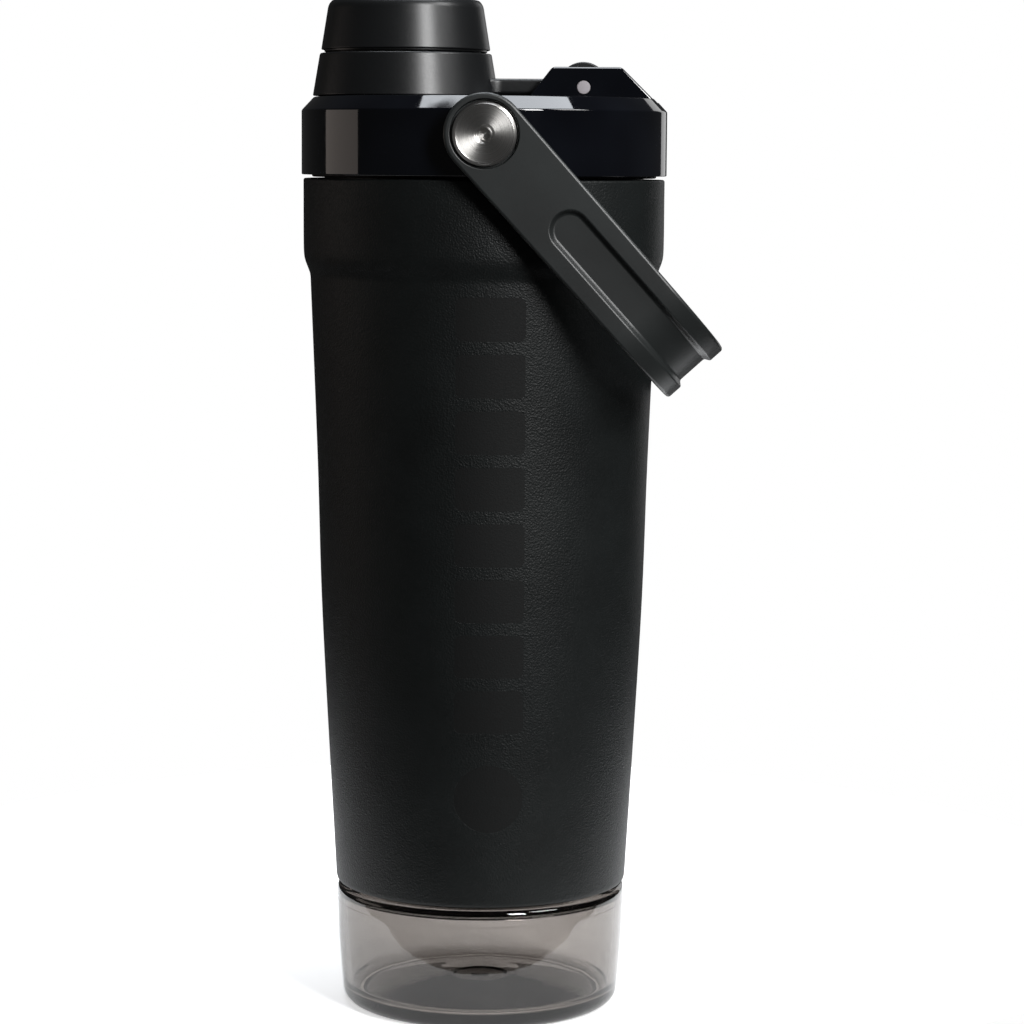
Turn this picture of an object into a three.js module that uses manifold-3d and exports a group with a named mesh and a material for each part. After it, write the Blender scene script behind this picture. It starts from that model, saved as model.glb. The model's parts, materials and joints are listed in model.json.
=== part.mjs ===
// A protein shaker bottle: a double-wall steel body that is open at both ends, a clear cup screwed into its
// foot, a screw lid with a mixing grid, a captive screw cap on a hinged arm, and a stirrup handle.
// Millimetres, +Z up. The origin is on the bottle's axis, at the plane it stands on.
// The handle's pivot axis is parallel to Y, and the cap's hinge is on the +X side.
import * as THREE from "three";
import { mergeVertices } from "three/addons/utils/BufferGeometryUtils.js";
import Module from "manifold-3d";

const wasm = await Module();
wasm.setup();

// ---------------------------------------------------------------- driving dimensions

const gap = 0.3; // between pieces that touch or are fixed together
const runGap = 0.25; // axial play in the handle's pivots
const fine = 36; // segments round the bottle
const medium = 28; // segments round the spout and the cap
const coarse = 14; // segments round a screw or a pin
const ridgeSteps = 28; // steps in one turn of a thread

// Steel body
const bodyHeight = 173.35;
const rimR = 44.05;
const rimRound = 0.5; // edge of the rolled rim
const shoulderStep = 1.7; // how far the shoulder stands out from the taper below it
const shoulderDrop = 24.2; // rim to the lower end of the shoulder
const shoulderRise = 7; // height over which the shoulder swells
const taper = 6.4; // radius lost from the shoulder to the foot
const lowerBelly = 0.69; // how far the taper bulges past a straight line, this share of the way up:
const lowerBellyAt = 0.43;
const upperBelly = 0.2; // and a second place on it
const upperBellyAt = 0.7;
const steel = 0.6; // sheet thickness of both walls
const vacuum = 2.3; // space between the two walls
const curl = 1.3; // height of the rounded lower edge
const lipIn = 1.4; // the shell's foot turns in by this much, and its lip stands this much higher

// Clear base cup
const cupHeight = 30.0;
const cupInset = 0.25; // the cup's widest radius is this much less than the body's foot
const cupWall = 2.2;
const cupTaper = 1.4; // the cup narrows by this much towards its foot
const footRound = 3.3; // rounding of the cup's lower edge
const footRingWidth = 1.7;
const footRecess = 0.8;
const floorThickness = 2.2;
const domeRise = 3.0; // rise of the floor towards the middle
const domeDiscR = 6.5;
const shoulderThickness = 1.6;
const neckHeight = 10;
const neckWall = 2;
const ringGap = 0.7; // cup shoulder to the steel, where the base seal shows

// Threads: ridge height, ridge width and lead
const lidThread = { height: 1.2, width: 1.8, lead: 6, turns: 1.2 };
const baseThread = { height: 1.0, width: 1.5, lead: 5, turns: 1.1 };
const capThread = { height: 0.9, width: 1.3, lead: 4, turns: 1.1 };
const lidTravel = 2.5 * lidThread.lead; // from closed to clear of the body's thread
const threadPlay = 0.4; // radial, ridge top to the other wall
const collarWall = 1.4;
const collarLength = 11.7;
const collarFlange = 1.3;
const collarThreadUp = 2.7; // the cup's ridge starts this far above the collar's lower end
const sealThickness = 0.6;
const sealGap = 0.25; // above and below the base seal

// Lid
const lidGap = 0.85; // rim to the lid's lower edge
const bandHeight = 15.5;
const bandProud = 0.45; // the lid's radius is this much more than the rim's
const chamferIn = 3.0;
const chamferRise = 3.2;
const lidWall = 2.2;
const skirtDepth = 12.2; // lid plug below the rim
const lidThreadDown = 10.2; // both ridges of the lid's thread start this far below the rim
const skirtWall = 1.7;
const flangeThickness = 1.7;
const gasketThickness = 2.2;
const ceilingDrop = 7.6; // deck top to the inner lid's top
const ceilingThickness = 2;
const gridThickness = 1.8;
const gridRim = 4.2; // height of the mixing grid's rim
const gridBar = 1.6;
const gridPitch = 8.2;

// Spout neck and cap
const neckR = 14.8;
const spoutWall = 2;
const neckAboveDeck = 14.4;
const spoutThreadDown = 8.2; // the ridge starts this far below the spout's top
const deckHoleGap = 1.7; // round the neck where it passes through the deck
const flipPlay = 1.3; // between the two threads, so that the cap can fold back without turning
const sleeveWall = 0.8;
const sleeveRidge = 0.5;
const ringTopWall = 2.55; // sleeve to the ring's outside at its top
const ringSpread = 1.75; // radius gained down the ring's side
const ringHeight = 10.3;
const ringOverEdge = 0.3; // the ring's foot reaches this far past the flat of the deck
const ringWall = 1.9;
const ledgeThickness = 1.6;
const knobFootWall = 2.25; // sleeve to the knob's outside at its foot
const knobGap = 0.8; // ring to the foot of the knob's outside
const knobSkirtIn = 0.75; // the knob's skirt, inside that gap, is set back by this much
const knobHeight = 12.0;
const knobSlope = 1.6; // radius lost up the knob's side
const knobRoundTop = 1.8; // rounding of the knob's top edge
const knobWall = 1.5;
const capSealThickness = 1.5;
const retainerHeight = 1.5;
const retainerWall = 1.1;
const sleeveAboveRing = 2.6; // the sleeve's lower end above the ring's
const sleeveUp = 0.5; // and its upper end above the spout's top

// Cap hinge
const hingeInset = 17.7; // edge of the deck's flat to the hinge axis
const hingeAboveDeck = 2.55;
const knuckleR = 6.15;
const pinR = 1.65;
const armHalfWidth = 7.1;
const armBottom = 0.8; // arm's underside above the deck
const armThickness = 3.8;
const armEdge = 0.9; // chamfer along the arm
const slotSide = 0.4; // arm to cheek
const slotDepth = 1.0; // slot floor below the deck, for the arm when the cap is folded back
const cheek = 3.5;
const cheekHeight = 7.4;
const cheekLeft = 13.3;
const cheekTopLeft = 7.5;
const cheekTopRight = 9.1;
const cheekRight = 16.6;
const pocketPlay = 0.6; // round the knuckle
const pocketWall = 1.6;

// Handle
const pivotAboveBand = 9.75;
const padProud = 0.1; // pivot pad beyond the lid's band
const padR = 9.3;
const bossR = 6;
const bossFloor = 0.8; // left under the threaded insert
const bossGap = 0.4; // boss to the inner lid's wall
const washerThickness = 0.5;
const washerR = 8.2;
const arm = 4.2; // thickness of the handle's strap
const eyeR = 9.5;
const gripHalfWidth = 8.8;
const restAngle = 48.0; // degrees below level, where the grip lies close to the body
const gripClear = 0.4; // least gap between the grip and the body
const cornerR = 20;
const gripBow = 3;
const channelDepth = 1.3;
const channelHalfWidth = 5;
const channelStart = 29.5;
const counterboreR = 8;
const counterboreDepth = 1.6;
const bushR = 5.2;
const screwHeadR = 7.4;
const screwHead = 1.5;
const screwShoulderR = 3.9;
const screwStemR = 2.1;
const screwStem = 4.4;
const socketR = 1.75;
const socketDepth = 2.2;
const insertR = 3.3;
const insertLength = 4.8;

// ---------------------------------------------------------------- places that follow from them

const bodyZ = cupHeight + ringGap;
const rimZ = bodyZ + bodyHeight;
const shoulderZ = rimZ - shoulderDrop;
const shoulderR = rimR - shoulderStep;
const footR = shoulderR - taper;
const wall = 2 * steel + vacuum;

const bandZ = rimZ + lidGap;
const bandR = rimR + bandProud;
const bandTopZ = bandZ + bandHeight;
const deckZ = bandTopZ + chamferRise;
const deckR = bandR - chamferIn;

const sleeveR = neckR + capThread.height + flipPlay + sleeveRidge + sleeveWall;
const ringTopR = sleeveR + ringTopWall;
const ringFootR = ringTopR + ringSpread;
const knobFootR = sleeveR + knobFootWall;
const spoutX = ringFootR - deckR - ringOverEdge;
const hingeX = deckR - hingeInset;
const hingeZ = deckZ + hingeAboveDeck;
const neckTopZ = deckZ + neckAboveDeck;
const ringZ = deckZ + gap;
const ringTopZ = ringZ + ringHeight;
const knobZ = ringTopZ + knobGap;
const capTopZ = knobZ + knobHeight;

const pivotZ = bandZ + pivotAboveBand;
const padY = bandR + padProud;
const washerY = padY + runGap;
const armY = washerY + washerThickness + runGap;
const armOuterY = armY + arm;
const headY = armOuterY - counterboreDepth + runGap;

// ---------------------------------------------------------------- shape helpers

// A closed geometry as a manifold-3d solid.
function solid(geometry) {
  const bare = geometry.clone();
  bare.deleteAttribute("normal");
  bare.deleteAttribute("uv");
  const merged = mergeVertices(bare, 1e-3);
  return new wasm.Manifold(
    new wasm.Mesh({
      numProp: 3,
      vertProperties: merged.attributes.position.array,
      triVerts: new Uint32Array(merged.index.array),
    }),
  );
}

// A solid of revolution about the vertical through (x, 0). The profile lists [radius, z], with its material
// on the left hand; it closes on itself unless it starts and ends on the axis.
function turned(profile, segments, x = 0) {
  const points = profile.map(([r, z]) => new THREE.Vector2(r, z));
  if (profile[0][0] > 0) points.push(points[0].clone());
  return solid(new THREE.LatheGeometry(points, segments).rotateX(Math.PI / 2).translate(x, 0, 0));
}

// A plain tube or ring between two radii and two heights.
function tube(innerR, outerR, z0, z1, segments, x = 0) {
  const profile = [
    [innerR, z0],
    [outerR, z0],
    [outerR, z1],
    [innerR, z1],
  ];
  return turned(profile, segments, x);
}

// A plain disc about the vertical through (x, 0).
function disc(radius, z0, z1, segments, x = 0) {
  const profile = [
    [0, z0],
    [radius, z0],
    [radius, z1],
    [0, z1],
  ];
  return turned(profile, segments, x);
}

// A round bar along Y, centred at (x, z), from y0 to y1.
function barY(radius, y0, y1, x, z, segments = coarse) {
  const bar = new THREE.CylinderGeometry(radius, radius, y1 - y0, segments);
  return solid(bar.translate(x, (y0 + y1) / 2, z));
}

function box(x0, x1, y0, y1, z0, z1) {
  const block = new THREE.BoxGeometry(x1 - x0, y1 - y0, z1 - z0);
  return solid(block.translate((x0 + x1) / 2, (y0 + y1) / 2, (z0 + z1) / 2));
}

// An outline of [x, z] points, extruded along Y from y0 to y1.
function slabY(outline, y0, y1) {
  const shape = new THREE.Shape(outline.map(([x, z]) => new THREE.Vector2(x, z)));
  const slab = new THREE.ExtrudeGeometry(shape, { depth: y1 - y0, bevelEnabled: false });
  return solid(slab.rotateX(Math.PI / 2).translate(0, y1, 0));
}

// Points on an arc about (cx, cy), from one angle to the other in degrees.
function arc(cx, cy, radius, from, to, steps) {
  const rad = Math.PI / 180;
  const curve = new THREE.EllipseCurve(cx, cy, radius, radius, from * rad, to * rad, to < from);
  return curve.getPoints(steps).map((p) => [p.x, p.y]);
}

// A right-hand helical ridge whose flat foot is sunk into a wall at wallR, rising to crestR on one side.
// It is a straight bar wound round the axis: its length is the angle, and its ends fade into the wall.
function ridge(wallR, crestR, thread, z, startAngle, x = 0) {
  const out = Math.sign(crestR - wallR);
  const sunk = 0.3;
  const steps = Math.round(thread.turns * ridgeSteps);
  const half = thread.width / 2;
  const section = new THREE.Shape([
    new THREE.Vector2(-sunk * out, -half),
    new THREE.Vector2(thread.height * out, -half * 0.6),
    new THREE.Vector2(thread.height * out, half * 0.6),
    new THREE.Vector2(-sunk * out, half),
  ]);
  const length = thread.turns * 2 * Math.PI;
  const bar = new THREE.ExtrudeGeometry(section, { depth: length, steps, bevelEnabled: false });
  const spots = bar.attributes.position;
  const fade = Math.PI / 7;
  for (let i = 0; i < spots.count; i += 1) {
    const along = spots.getZ(i);
    const rise = Math.min(1, 0.2 + Math.min(along, length - along) / fade);
    const inSection = spots.getX(i);
    const radius = wallR + (inSection * out > 0 ? inSection * rise : inSection);
    const angle = startAngle + along;
    const height = z - spots.getY(i) + (thread.lead * along) / (2 * Math.PI);
    spots.setXYZ(i, x + radius * Math.cos(angle), radius * Math.sin(angle), height);
  }
  return solid(bar);
}

// ---------------------------------------------------------------- steel body

// Outer side of the steel body: a taper with a slight belly, then the shoulder.
const taperKnots = [
  [0, 0],
  [lowerBellyAt, lowerBelly],
  [upperBellyAt, upperBelly],
  [1, 0],
];
const taperZ = bodyZ + curl;
const taperCurve = new THREE.SplineCurve(
  taperKnots.map(([up, belly]) => {
    return new THREE.Vector2(taperZ + up * (shoulderZ - taperZ), footR + up * taper + belly);
  }),
);
const taperPoints = taperCurve.getPoints(5).map((p) => [p.y, p.x]);
const shoulderPoints = [
  [shoulderR + 0.25 * shoulderStep, shoulderZ + 0.25 * shoulderRise],
  [shoulderR + 0.7 * shoulderStep, shoulderZ + 0.58 * shoulderRise],
  [rimR - 0.1, shoulderZ + shoulderRise],
  [rimR, shoulderZ + 1.5 * shoulderRise],
];
const sidePoints = [...taperPoints, ...shoulderPoints, [rimR, rimZ - rimRound]];

// The body's outer radius at a height.
function bodyRadiusAt(z) {
  const above = sidePoints.findIndex((p) => p[1] >= z);
  if (above <= 0) return above === 0 ? footR : rimR;
  const [r0, z0] = sidePoints[above - 1];
  const [r1, z1] = sidePoints[above];
  return r0 + ((r1 - r0) * (z - z0)) / (z1 - z0);
}

const shrunk = (points, by) => points.map(([r, z]) => [r - by, z]);
const lipZ = bodyZ + lipIn;
const linerTopR = rimR - wall;
const linerFootR = footR - wall;

// Outer wall: side, rolled rim turned in to the liner, and foot turned in to it.
function bodyShell() {
  const inner = shrunk(sidePoints.slice(1, -1), steel).reverse();
  return turned(
    [
      [footR - lipIn, bodyZ],
      [footR - 0.5 * lipIn, bodyZ],
      ...sidePoints,
      [rimR - rimRound, rimZ],
      [linerTopR + steel + gap, rimZ],
      [linerTopR + steel + gap, rimZ - steel],
      [rimR - steel, rimZ - steel],
      ...inner,
      [footR - steel, lipZ + steel],
      [linerFootR + steel + gap, lipZ + steel],
      [linerFootR + steel + gap, lipZ],
      [footR - lipIn, lipZ],
    ],
    fine,
  );
}

// Inner wall, with the lid's thread formed in its top.
const lidThreadZ = rimZ - lidThreadDown;
function bodyLiner() {
  const outer = shrunk(sidePoints.slice(1, -1), steel + vacuum);
  const inner = shrunk(sidePoints.slice(1, -1), wall).reverse();
  const shape = turned(
    [
      [linerFootR, lipZ],
      [linerFootR + steel, lipZ],
      ...outer,
      [linerTopR + steel, rimZ],
      [linerTopR, rimZ],
      ...inner,
    ],
    fine,
  );
  return shape.add(ridge(linerTopR, linerTopR - lidThread.height, lidThread, lidThreadZ, 0));
}

// Plastic ring fixed in the foot of the body, with the base's thread.
const collarR = linerFootR - gap;
const collarBoreR = collarR - collarWall;
const collarZ = cupHeight + sealThickness + 2 * sealGap;
const collarFlangeR = footR - lipIn - gap;
const baseThreadZ = collarZ + collarThreadUp;
function baseCollar() {
  const flangeTop = Math.min(collarZ + collarFlange, lipZ - gap);
  const shape = turned(
    [
      [collarBoreR, collarZ],
      [collarFlangeR, collarZ],
      [collarFlangeR, flangeTop],
      [collarR, flangeTop],
      [collarR, collarZ + collarLength],
      [collarBoreR, collarZ + collarLength],
    ],
    fine,
  );
  const crest = collarBoreR - baseThread.height;
  return shape.add(ridge(collarBoreR, crest, baseThread, baseThreadZ + baseThread.lead / 2, 0));
}

// ---------------------------------------------------------------- base

const baseNeckR = collarBoreR - baseThread.height - threadPlay;
const cupR = footR - cupInset;
const sealZ = cupHeight + sealGap;

function baseCup() {
  const lowR = cupR - cupTaper;
  const ringOuterR = lowR - footRound;
  const ringInnerR = ringOuterR - footRingWidth;
  const innerR = cupR - cupWall;
  const floorZ = footRecess + floorThickness;
  const roofZ = cupHeight - shoulderThickness;
  const shape = turned(
    [
      [0, footRecess],
      [ringInnerR - footRecess, footRecess],
      [ringInnerR, 0],
      ...arc(ringOuterR, footRound, footRound, -90, 0, 4),
      [cupR - 0.3 * cupTaper, 0.5 * cupHeight],
      [cupR, 0.82 * cupHeight],
      [cupR, cupHeight - 1],
      [cupR - 0.5, cupHeight],
      [baseNeckR, cupHeight],
      [baseNeckR, cupHeight + neckHeight],
      [baseNeckR - neckWall, cupHeight + neckHeight],
      [baseNeckR - neckWall, roofZ],
      [innerR - 1.2, roofZ - 0.5],
      [innerR, roofZ - 3],
      [innerR - 0.3 * cupTaper, 0.5 * cupHeight],
      [lowR - cupWall, footRound + 1.6],
      [ringOuterR, floorZ],
      [domeDiscR, floorZ + domeRise],
      [0, floorZ + domeRise],
    ],
    fine,
  );
  return shape.add(ridge(baseNeckR, baseNeckR + baseThread.height, baseThread, baseThreadZ, 0));
}

const baseSeal = () =>
  tube(baseNeckR + baseThread.height + threadPlay, collarFlangeR, sealZ, sealZ + sealThickness, fine);

// ---------------------------------------------------------------- lid

const skirtR = linerTopR - lidThread.height - threadPlay;
const skirtBoreR = skirtR - skirtWall;
const skirtZ = rimZ - skirtDepth;
const gasketZ = rimZ + gap;
const flangeZ = gasketZ + gasketThickness + gap;
const flangeTopZ = flangeZ + flangeThickness;
const ceilingZ = deckZ - ceilingDrop;
const bandBoreR = bandR - lidWall;
const sockets = [-1, 1]; // front and back of the handle's pivot axis

const lidGasket = () =>
  tube(skirtR + 0.5, bandBoreR - gap, gasketZ, gasketZ + gasketThickness, fine);

// A bar along Y on the pivot axis, on the front (side -1) or the back (side 1), between two distances.
function pivotBar(radius, near, far, side, segments = coarse) {
  const [y0, y1] = side < 0 ? [-far, -near] : [near, far];
  return barY(radius, y0, y1, 0, pivotZ, segments);
}

const cheekOuterY = armHalfWidth + slotSide + cheek;
const slotY = armHalfWidth + slotSide;

function lidShell() {
  let shape = turned(
    [
      [0, deckZ - lidWall],
      [bandBoreR - 1, deckZ - lidWall],
      [bandBoreR, bandTopZ],
      [bandBoreR, bandZ],
      [bandR, bandZ],
      [bandR, bandTopZ],
      [deckR, deckZ],
      [0, deckZ],
    ],
    fine,
  );
  // Pivot pads with their bosses, each bored for a threaded insert.
  for (const side of sockets) {
    shape = shape.add(pivotBar(padR, bandBoreR + 0.2, padY, side, 24));
    shape = shape.add(pivotBar(bossR, insertEndY - bossFloor, bandBoreR + 0.5, side));
    shape = shape.subtract(pivotBar(insertR + gap, insertEndY - gap, padY + 1, side));
  }
  // Two cheeks of the cap's hinge, and the tray that the knuckle turns in.
  const cheekTopZ = deckZ + cheekHeight;
  const sunkZ = deckZ - 0.5 * lidWall;
  const outline = [
    [hingeX - cheekLeft - 0.5, sunkZ],
    [hingeX + cheekRight + 0.5, sunkZ],
    [hingeX + cheekRight, deckZ],
    [hingeX + cheekTopRight, cheekTopZ],
    [hingeX - cheekTopLeft, cheekTopZ],
    [hingeX - cheekLeft, deckZ],
  ];
  shape = shape.add(slabY(outline, -cheekOuterY, -slotY));
  shape = shape.add(slabY(outline, slotY, cheekOuterY));
  const pocketR = knuckleR + pocketPlay;
  const trayY = slotY + pocketWall;
  const tray = barY(pocketR + pocketWall, -trayY, trayY, hingeX, hingeZ, 24);
  const aboveDeck = box(hingeX - 30, hingeX + 30, -40, 40, sunkZ, sunkZ + 60);
  shape = shape.add(tray.subtract(aboveDeck));
  shape = shape.subtract(barY(pocketR, -slotY, slotY, hingeX, hingeZ, 24));
  shape = shape.subtract(box(hingeX, bandR + 2, -slotY, slotY, deckZ - slotDepth, deckZ + 1));
  shape = shape.subtract(barY(pinR + gap, -cheekOuterY - 1, cheekOuterY + 1, hingeX, hingeZ));
  return shape.subtract(disc(neckR + deckHoleGap, deckZ - lidWall - 1, deckZ + 1, medium, spoutX));
}

// Threaded plug, closed above, with the drinking spout standing up from it.
const spoutThreadZ = neckTopZ - spoutThreadDown;
function innerLid() {
  const wallR = insertEndY - bossFloor - bossGap;
  let shape = turned(
    [
      [0, ceilingZ - ceilingThickness],
      [skirtBoreR - 1.5, ceilingZ - ceilingThickness],
      [skirtBoreR, ceilingZ - ceilingThickness - 1.5],
      [skirtBoreR, skirtZ],
      [skirtR, skirtZ],
      [skirtR, flangeZ],
      [bandBoreR - gap, flangeZ],
      [bandBoreR - gap, flangeTopZ],
      [wallR, flangeTopZ],
      [wallR, ceilingZ],
      [0, ceilingZ],
    ],
    fine,
  );
  const male = ridge(skirtR, skirtR + lidThread.height, lidThread, lidThreadZ, Math.PI);
  const boreR = neckR - spoutWall;
  const through = ceilingZ - ceilingThickness - 1;
  shape = shape.add(male);
  shape = shape.add(disc(neckR, ceilingZ - 0.5, neckTopZ, medium, spoutX));
  shape = shape.add(ridge(neckR, neckR + capThread.height, capThread, spoutThreadZ, 0, spoutX));
  return shape.subtract(disc(boreR, through, neckTopZ + 1, medium, spoutX));
}

// Mixing grid: a disc with square holes in rows, and a rim by which it clips inside the plug.
function mixerGrid() {
  const outerR = skirtBoreR - gap - 0.1;
  const z0 = skirtZ + gap;
  const count = Math.floor(outerR / gridPitch);
  const half = (gridPitch - gridBar) / 2;
  let shape = turned(
    [
      [0, z0],
      [outerR, z0],
      [outerR, z0 + gridRim],
      [outerR - gridBar, z0 + gridRim],
      [outerR - gridBar, z0 + gridThickness],
      [0, z0 + gridThickness],
    ],
    fine,
  );
  for (let row = -count; row <= count; row += 1) {
    for (let column = -count; column <= count; column += 1) {
      const [x, y] = [column * gridPitch, row * gridPitch];
      const corner = Math.hypot(Math.abs(x) + half, Math.abs(y) + half);
      if (corner < outerR - gridBar - gap) {
        shape = shape.subtract(box(x - half, x + half, y - half, y + half, z0 - 1, z0 + gridThickness + 1));
      }
    }
  }
  return shape;
}

const hingePin = () => barY(pinR, 0.2 - cheekOuterY, cheekOuterY - 0.2, hingeX, hingeZ);

// ---------------------------------------------------------------- handle and its pivots

const insertEndY = padY - gap - insertLength;
const stemEndY = padY - 0.2 - screwStem;

const insert = (side) =>
  pivotBar(insertR, insertEndY, insertEndY + insertLength, side).subtract(
    pivotBar(screwStemR + gap, insertEndY - 1, padY, side),
  );

const washer = (side) =>
  pivotBar(washerR, washerY, washerY + washerThickness, side, 24).subtract(
    pivotBar(screwShoulderR + gap, washerY - 1, washerY + washerThickness + 1, side),
  );

// Shoulder screw: wide flat head with a hexagon socket, bearing shoulder, and threaded stem.
function screw(side) {
  const headTopY = headY + screwHead;
  return pivotBar(screwHeadR, headY, headTopY, side, 24)
    .add(pivotBar(screwShoulderR, padY + 0.05, headY + 0.2, side))
    .add(pivotBar(screwStemR, stemEndY, padY + 0.2, side))
    .subtract(pivotBar(socketR, headTopY - socketDepth, headTopY + 1, side, 6));
}

const bush = (side) =>
  pivotBar(bushR, armY + 0.05, armOuterY - counterboreDepth - 0.05, side).subtract(
    pivotBar(screwShoulderR + gap, armY - 1, armOuterY, side),
  );

// Reach of the grip from the pivot, so that its lower inner edge misses the body at the rest angle, even
// where the body is wider, beside the grip when the lid is screwed up to the end of its travel.
function handleReach() {
  const turn = (restAngle * Math.PI) / 180;
  let reach = 1.7 * rimR;
  for (let round = 0; round < 12; round += 1) {
    const edgeZ = pivotZ - (reach - arm) * Math.sin(turn) - gripHalfWidth * Math.cos(turn);
    const clear = bodyRadiusAt(edgeZ + lidTravel) + gripClear + gripHalfWidth * Math.sin(turn);
    reach = clear / Math.cos(turn) + arm;
  }
  return reach;
}
const reach = handleReach();

// Half of the strap's edge, as [distance along the handle, y], from the eye to the middle of the grip.
// The corner's arc and the grip's long bow touch without a kink, whatever the inset from the outside.
function strapEdge(inset) {
  const cornerU = reach - cornerR - gripBow;
  const cornerY = armOuterY - cornerR;
  const ahead = reach - cornerU;
  const bowR = (cornerY ** 2 + ahead ** 2 - cornerR ** 2) / (2 * (ahead - cornerR));
  const bowU = reach - bowR;
  const meet = (Math.atan2(cornerY, cornerU - bowU) * 180) / Math.PI;
  return [
    [-2 * eyeR, armOuterY - inset],
    ...arc(cornerU, cornerY, cornerR - inset, 90, meet, 7),
    ...arc(bowU, 0, bowR - inset, meet, 0, 5).slice(1),
  ];
}

// The whole strap between two insets, as a flat outline extruded along the handle's width.
function strap(inset0, inset1, halfWidth) {
  const mirrored = (edge) => [...edge, ...edge.slice(0, -1).reverse().map(([u, y]) => [u, -y])];
  const outline = [...mirrored(strapEdge(inset0)), ...mirrored(strapEdge(inset1)).reverse()];
  const shape = new THREE.Shape(outline.map(([u, y]) => new THREE.Vector2(u, y)));
  const band = new THREE.ExtrudeGeometry(shape, { depth: 2 * halfWidth, bevelEnabled: false });
  return solid(band.translate(0, 0, -halfWidth));
}

// Stirrup handle in its own frame: X runs from the pivot to the grip, Y is the pivot axis.
function handle() {
  const far = reach + 5;
  const side = [...arc(0, 0, eyeR, 270, 90, 12), [far, gripHalfWidth], [far, -gripHalfWidth]];
  const hollow = [
    ...arc(channelStart, 0, channelHalfWidth, 270, 90, 8),
    [far, channelHalfWidth],
    [far, -channelHalfWidth],
  ];
  const wide = armOuterY + 2;
  const channel = strap(-1, channelDepth, channelHalfWidth + 1).intersect(slabY(hollow, -wide, wide));
  let shape = strap(0, arm, eyeR + 1).intersect(slabY(side, -wide, wide)).subtract(channel);
  const boreFloor = armOuterY - counterboreDepth;
  shape = shape.subtract(barY(bushR + gap, -wide, wide, 0, 0));
  shape = shape.subtract(barY(counterboreR, -wide, -boreFloor, 0, 0, 24));
  return shape.subtract(barY(counterboreR, boreFloor, wide, 0, 0, 24));
}

// ---------------------------------------------------------------- cap

const sleeveZ = ringZ + sleeveAboveRing;
const capSealZ = neckTopZ + gap;
const ringSlope = (ringFootR - ringTopR) / ringHeight;

// Ring round the spout, with a ledge that keeps the knob captive, and the arm to its knuckle.
function capArm() {
  const ledgeR = sleeveR + gap;
  const ledgeZ = ringTopZ - ledgeThickness;
  const boreTopR = ringTopR + ringSlope * ledgeThickness - 1;
  const boreFootR = ringFootR - ringWall;
  const ring = turned(
    [
      [boreFootR, ringZ],
      [ringFootR, ringZ],
      [ringTopR + 0.4, ringTopZ - 0.4],
      [ringTopR, ringTopZ],
      [ledgeR, ringTopZ],
      [ledgeR, ledgeZ],
      [boreTopR, ledgeZ],
    ],
    medium,
    spoutX,
  );
  const inside = turned(
    [
      [0, ringZ - 1],
      [boreFootR, ringZ - 1],
      [boreTopR, ledgeZ],
      [0, ledgeZ],
    ],
    medium,
    spoutX,
  );
  const barZ = deckZ + armBottom;
  const bar = new THREE.Shape([
    new THREE.Vector2(-armHalfWidth, barZ),
    new THREE.Vector2(armHalfWidth, barZ),
    new THREE.Vector2(armHalfWidth, barZ + armThickness - armEdge),
    new THREE.Vector2(armHalfWidth - armEdge, barZ + armThickness),
    new THREE.Vector2(armEdge - armHalfWidth, barZ + armThickness),
    new THREE.Vector2(-armHalfWidth, barZ + armThickness - armEdge),
  ]);
  const length = hingeX - spoutX;
  const rail = new THREE.ExtrudeGeometry(bar, { depth: length, bevelEnabled: false });
  // The section's x becomes y and its y becomes z, so that the bar runs along +X.
  rail.rotateX(Math.PI / 2).rotateZ(Math.PI / 2).translate(spoutX, 0, 0);
  return solid(rail)
    .subtract(inside)
    .add(ring)
    .add(barY(knuckleR, -armHalfWidth, armHalfWidth, hingeX, hingeZ, 24))
    .subtract(barY(pinR + gap, -armHalfWidth - 1, armHalfWidth + 1, hingeX, hingeZ));
}

const capRetainer = () =>
  tube(sleeveR + gap, sleeveR + gap + retainerWall, sleeveZ, sleeveZ + retainerHeight, medium, spoutX);

const capSeal = () =>
  disc(sleeveR - sleeveWall - sleeveRidge - 0.5, capSealZ, capSealZ + capSealThickness, medium, spoutX);

// Threaded sleeve pressed into the knob, reaching down through the ring.
function capSleeve() {
  const boreR = sleeveR - sleeveWall;
  const thread = { ...capThread, height: sleeveRidge };
  const crest = boreR - sleeveRidge;
  return tube(boreR, sleeveR, sleeveZ, neckTopZ + sleeveUp, medium, spoutX).add(
    ridge(boreR, crest, thread, spoutThreadZ + capThread.lead / 2, 0, spoutX),
  );
}

// Knob: a hollow frustum with a ring boss inside that presses the seal.
function capKnob() {
  const sealTopZ = capSealZ + capSealThickness + gap;
  const sideTopR = knobFootR - knobSlope;
  const innerTopR = sideTopR - knobWall - 0.5;
  const bossOuterR = innerTopR - 3;
  const roofZ = capTopZ - knobWall;
  return turned(
    [
      [sleeveR + gap, ringTopZ + gap],
      [knobFootR - knobSkirtIn, ringTopZ + gap],
      [knobFootR - knobSkirtIn, knobZ],
      [knobFootR, knobZ],
      [sideTopR, capTopZ - knobRoundTop],
      [sideTopR - 0.3 * knobRoundTop, capTopZ - 0.3 * knobRoundTop],
      [sideTopR - 0.8 * knobRoundTop, capTopZ],
      [0, capTopZ],
      [0, roofZ],
      [bossOuterR - 2, roofZ],
      [bossOuterR - 2, sealTopZ],
      [bossOuterR, sealTopZ],
      [bossOuterR, roofZ],
      [innerTopR, roofZ],
      [innerTopR, neckTopZ + sleeveUp + gap],
      [sleeveR + gap, neckTopZ + sleeveUp + gap],
    ],
    medium,
    spoutX,
  );
}

// ---------------------------------------------------------------- assembly

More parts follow.
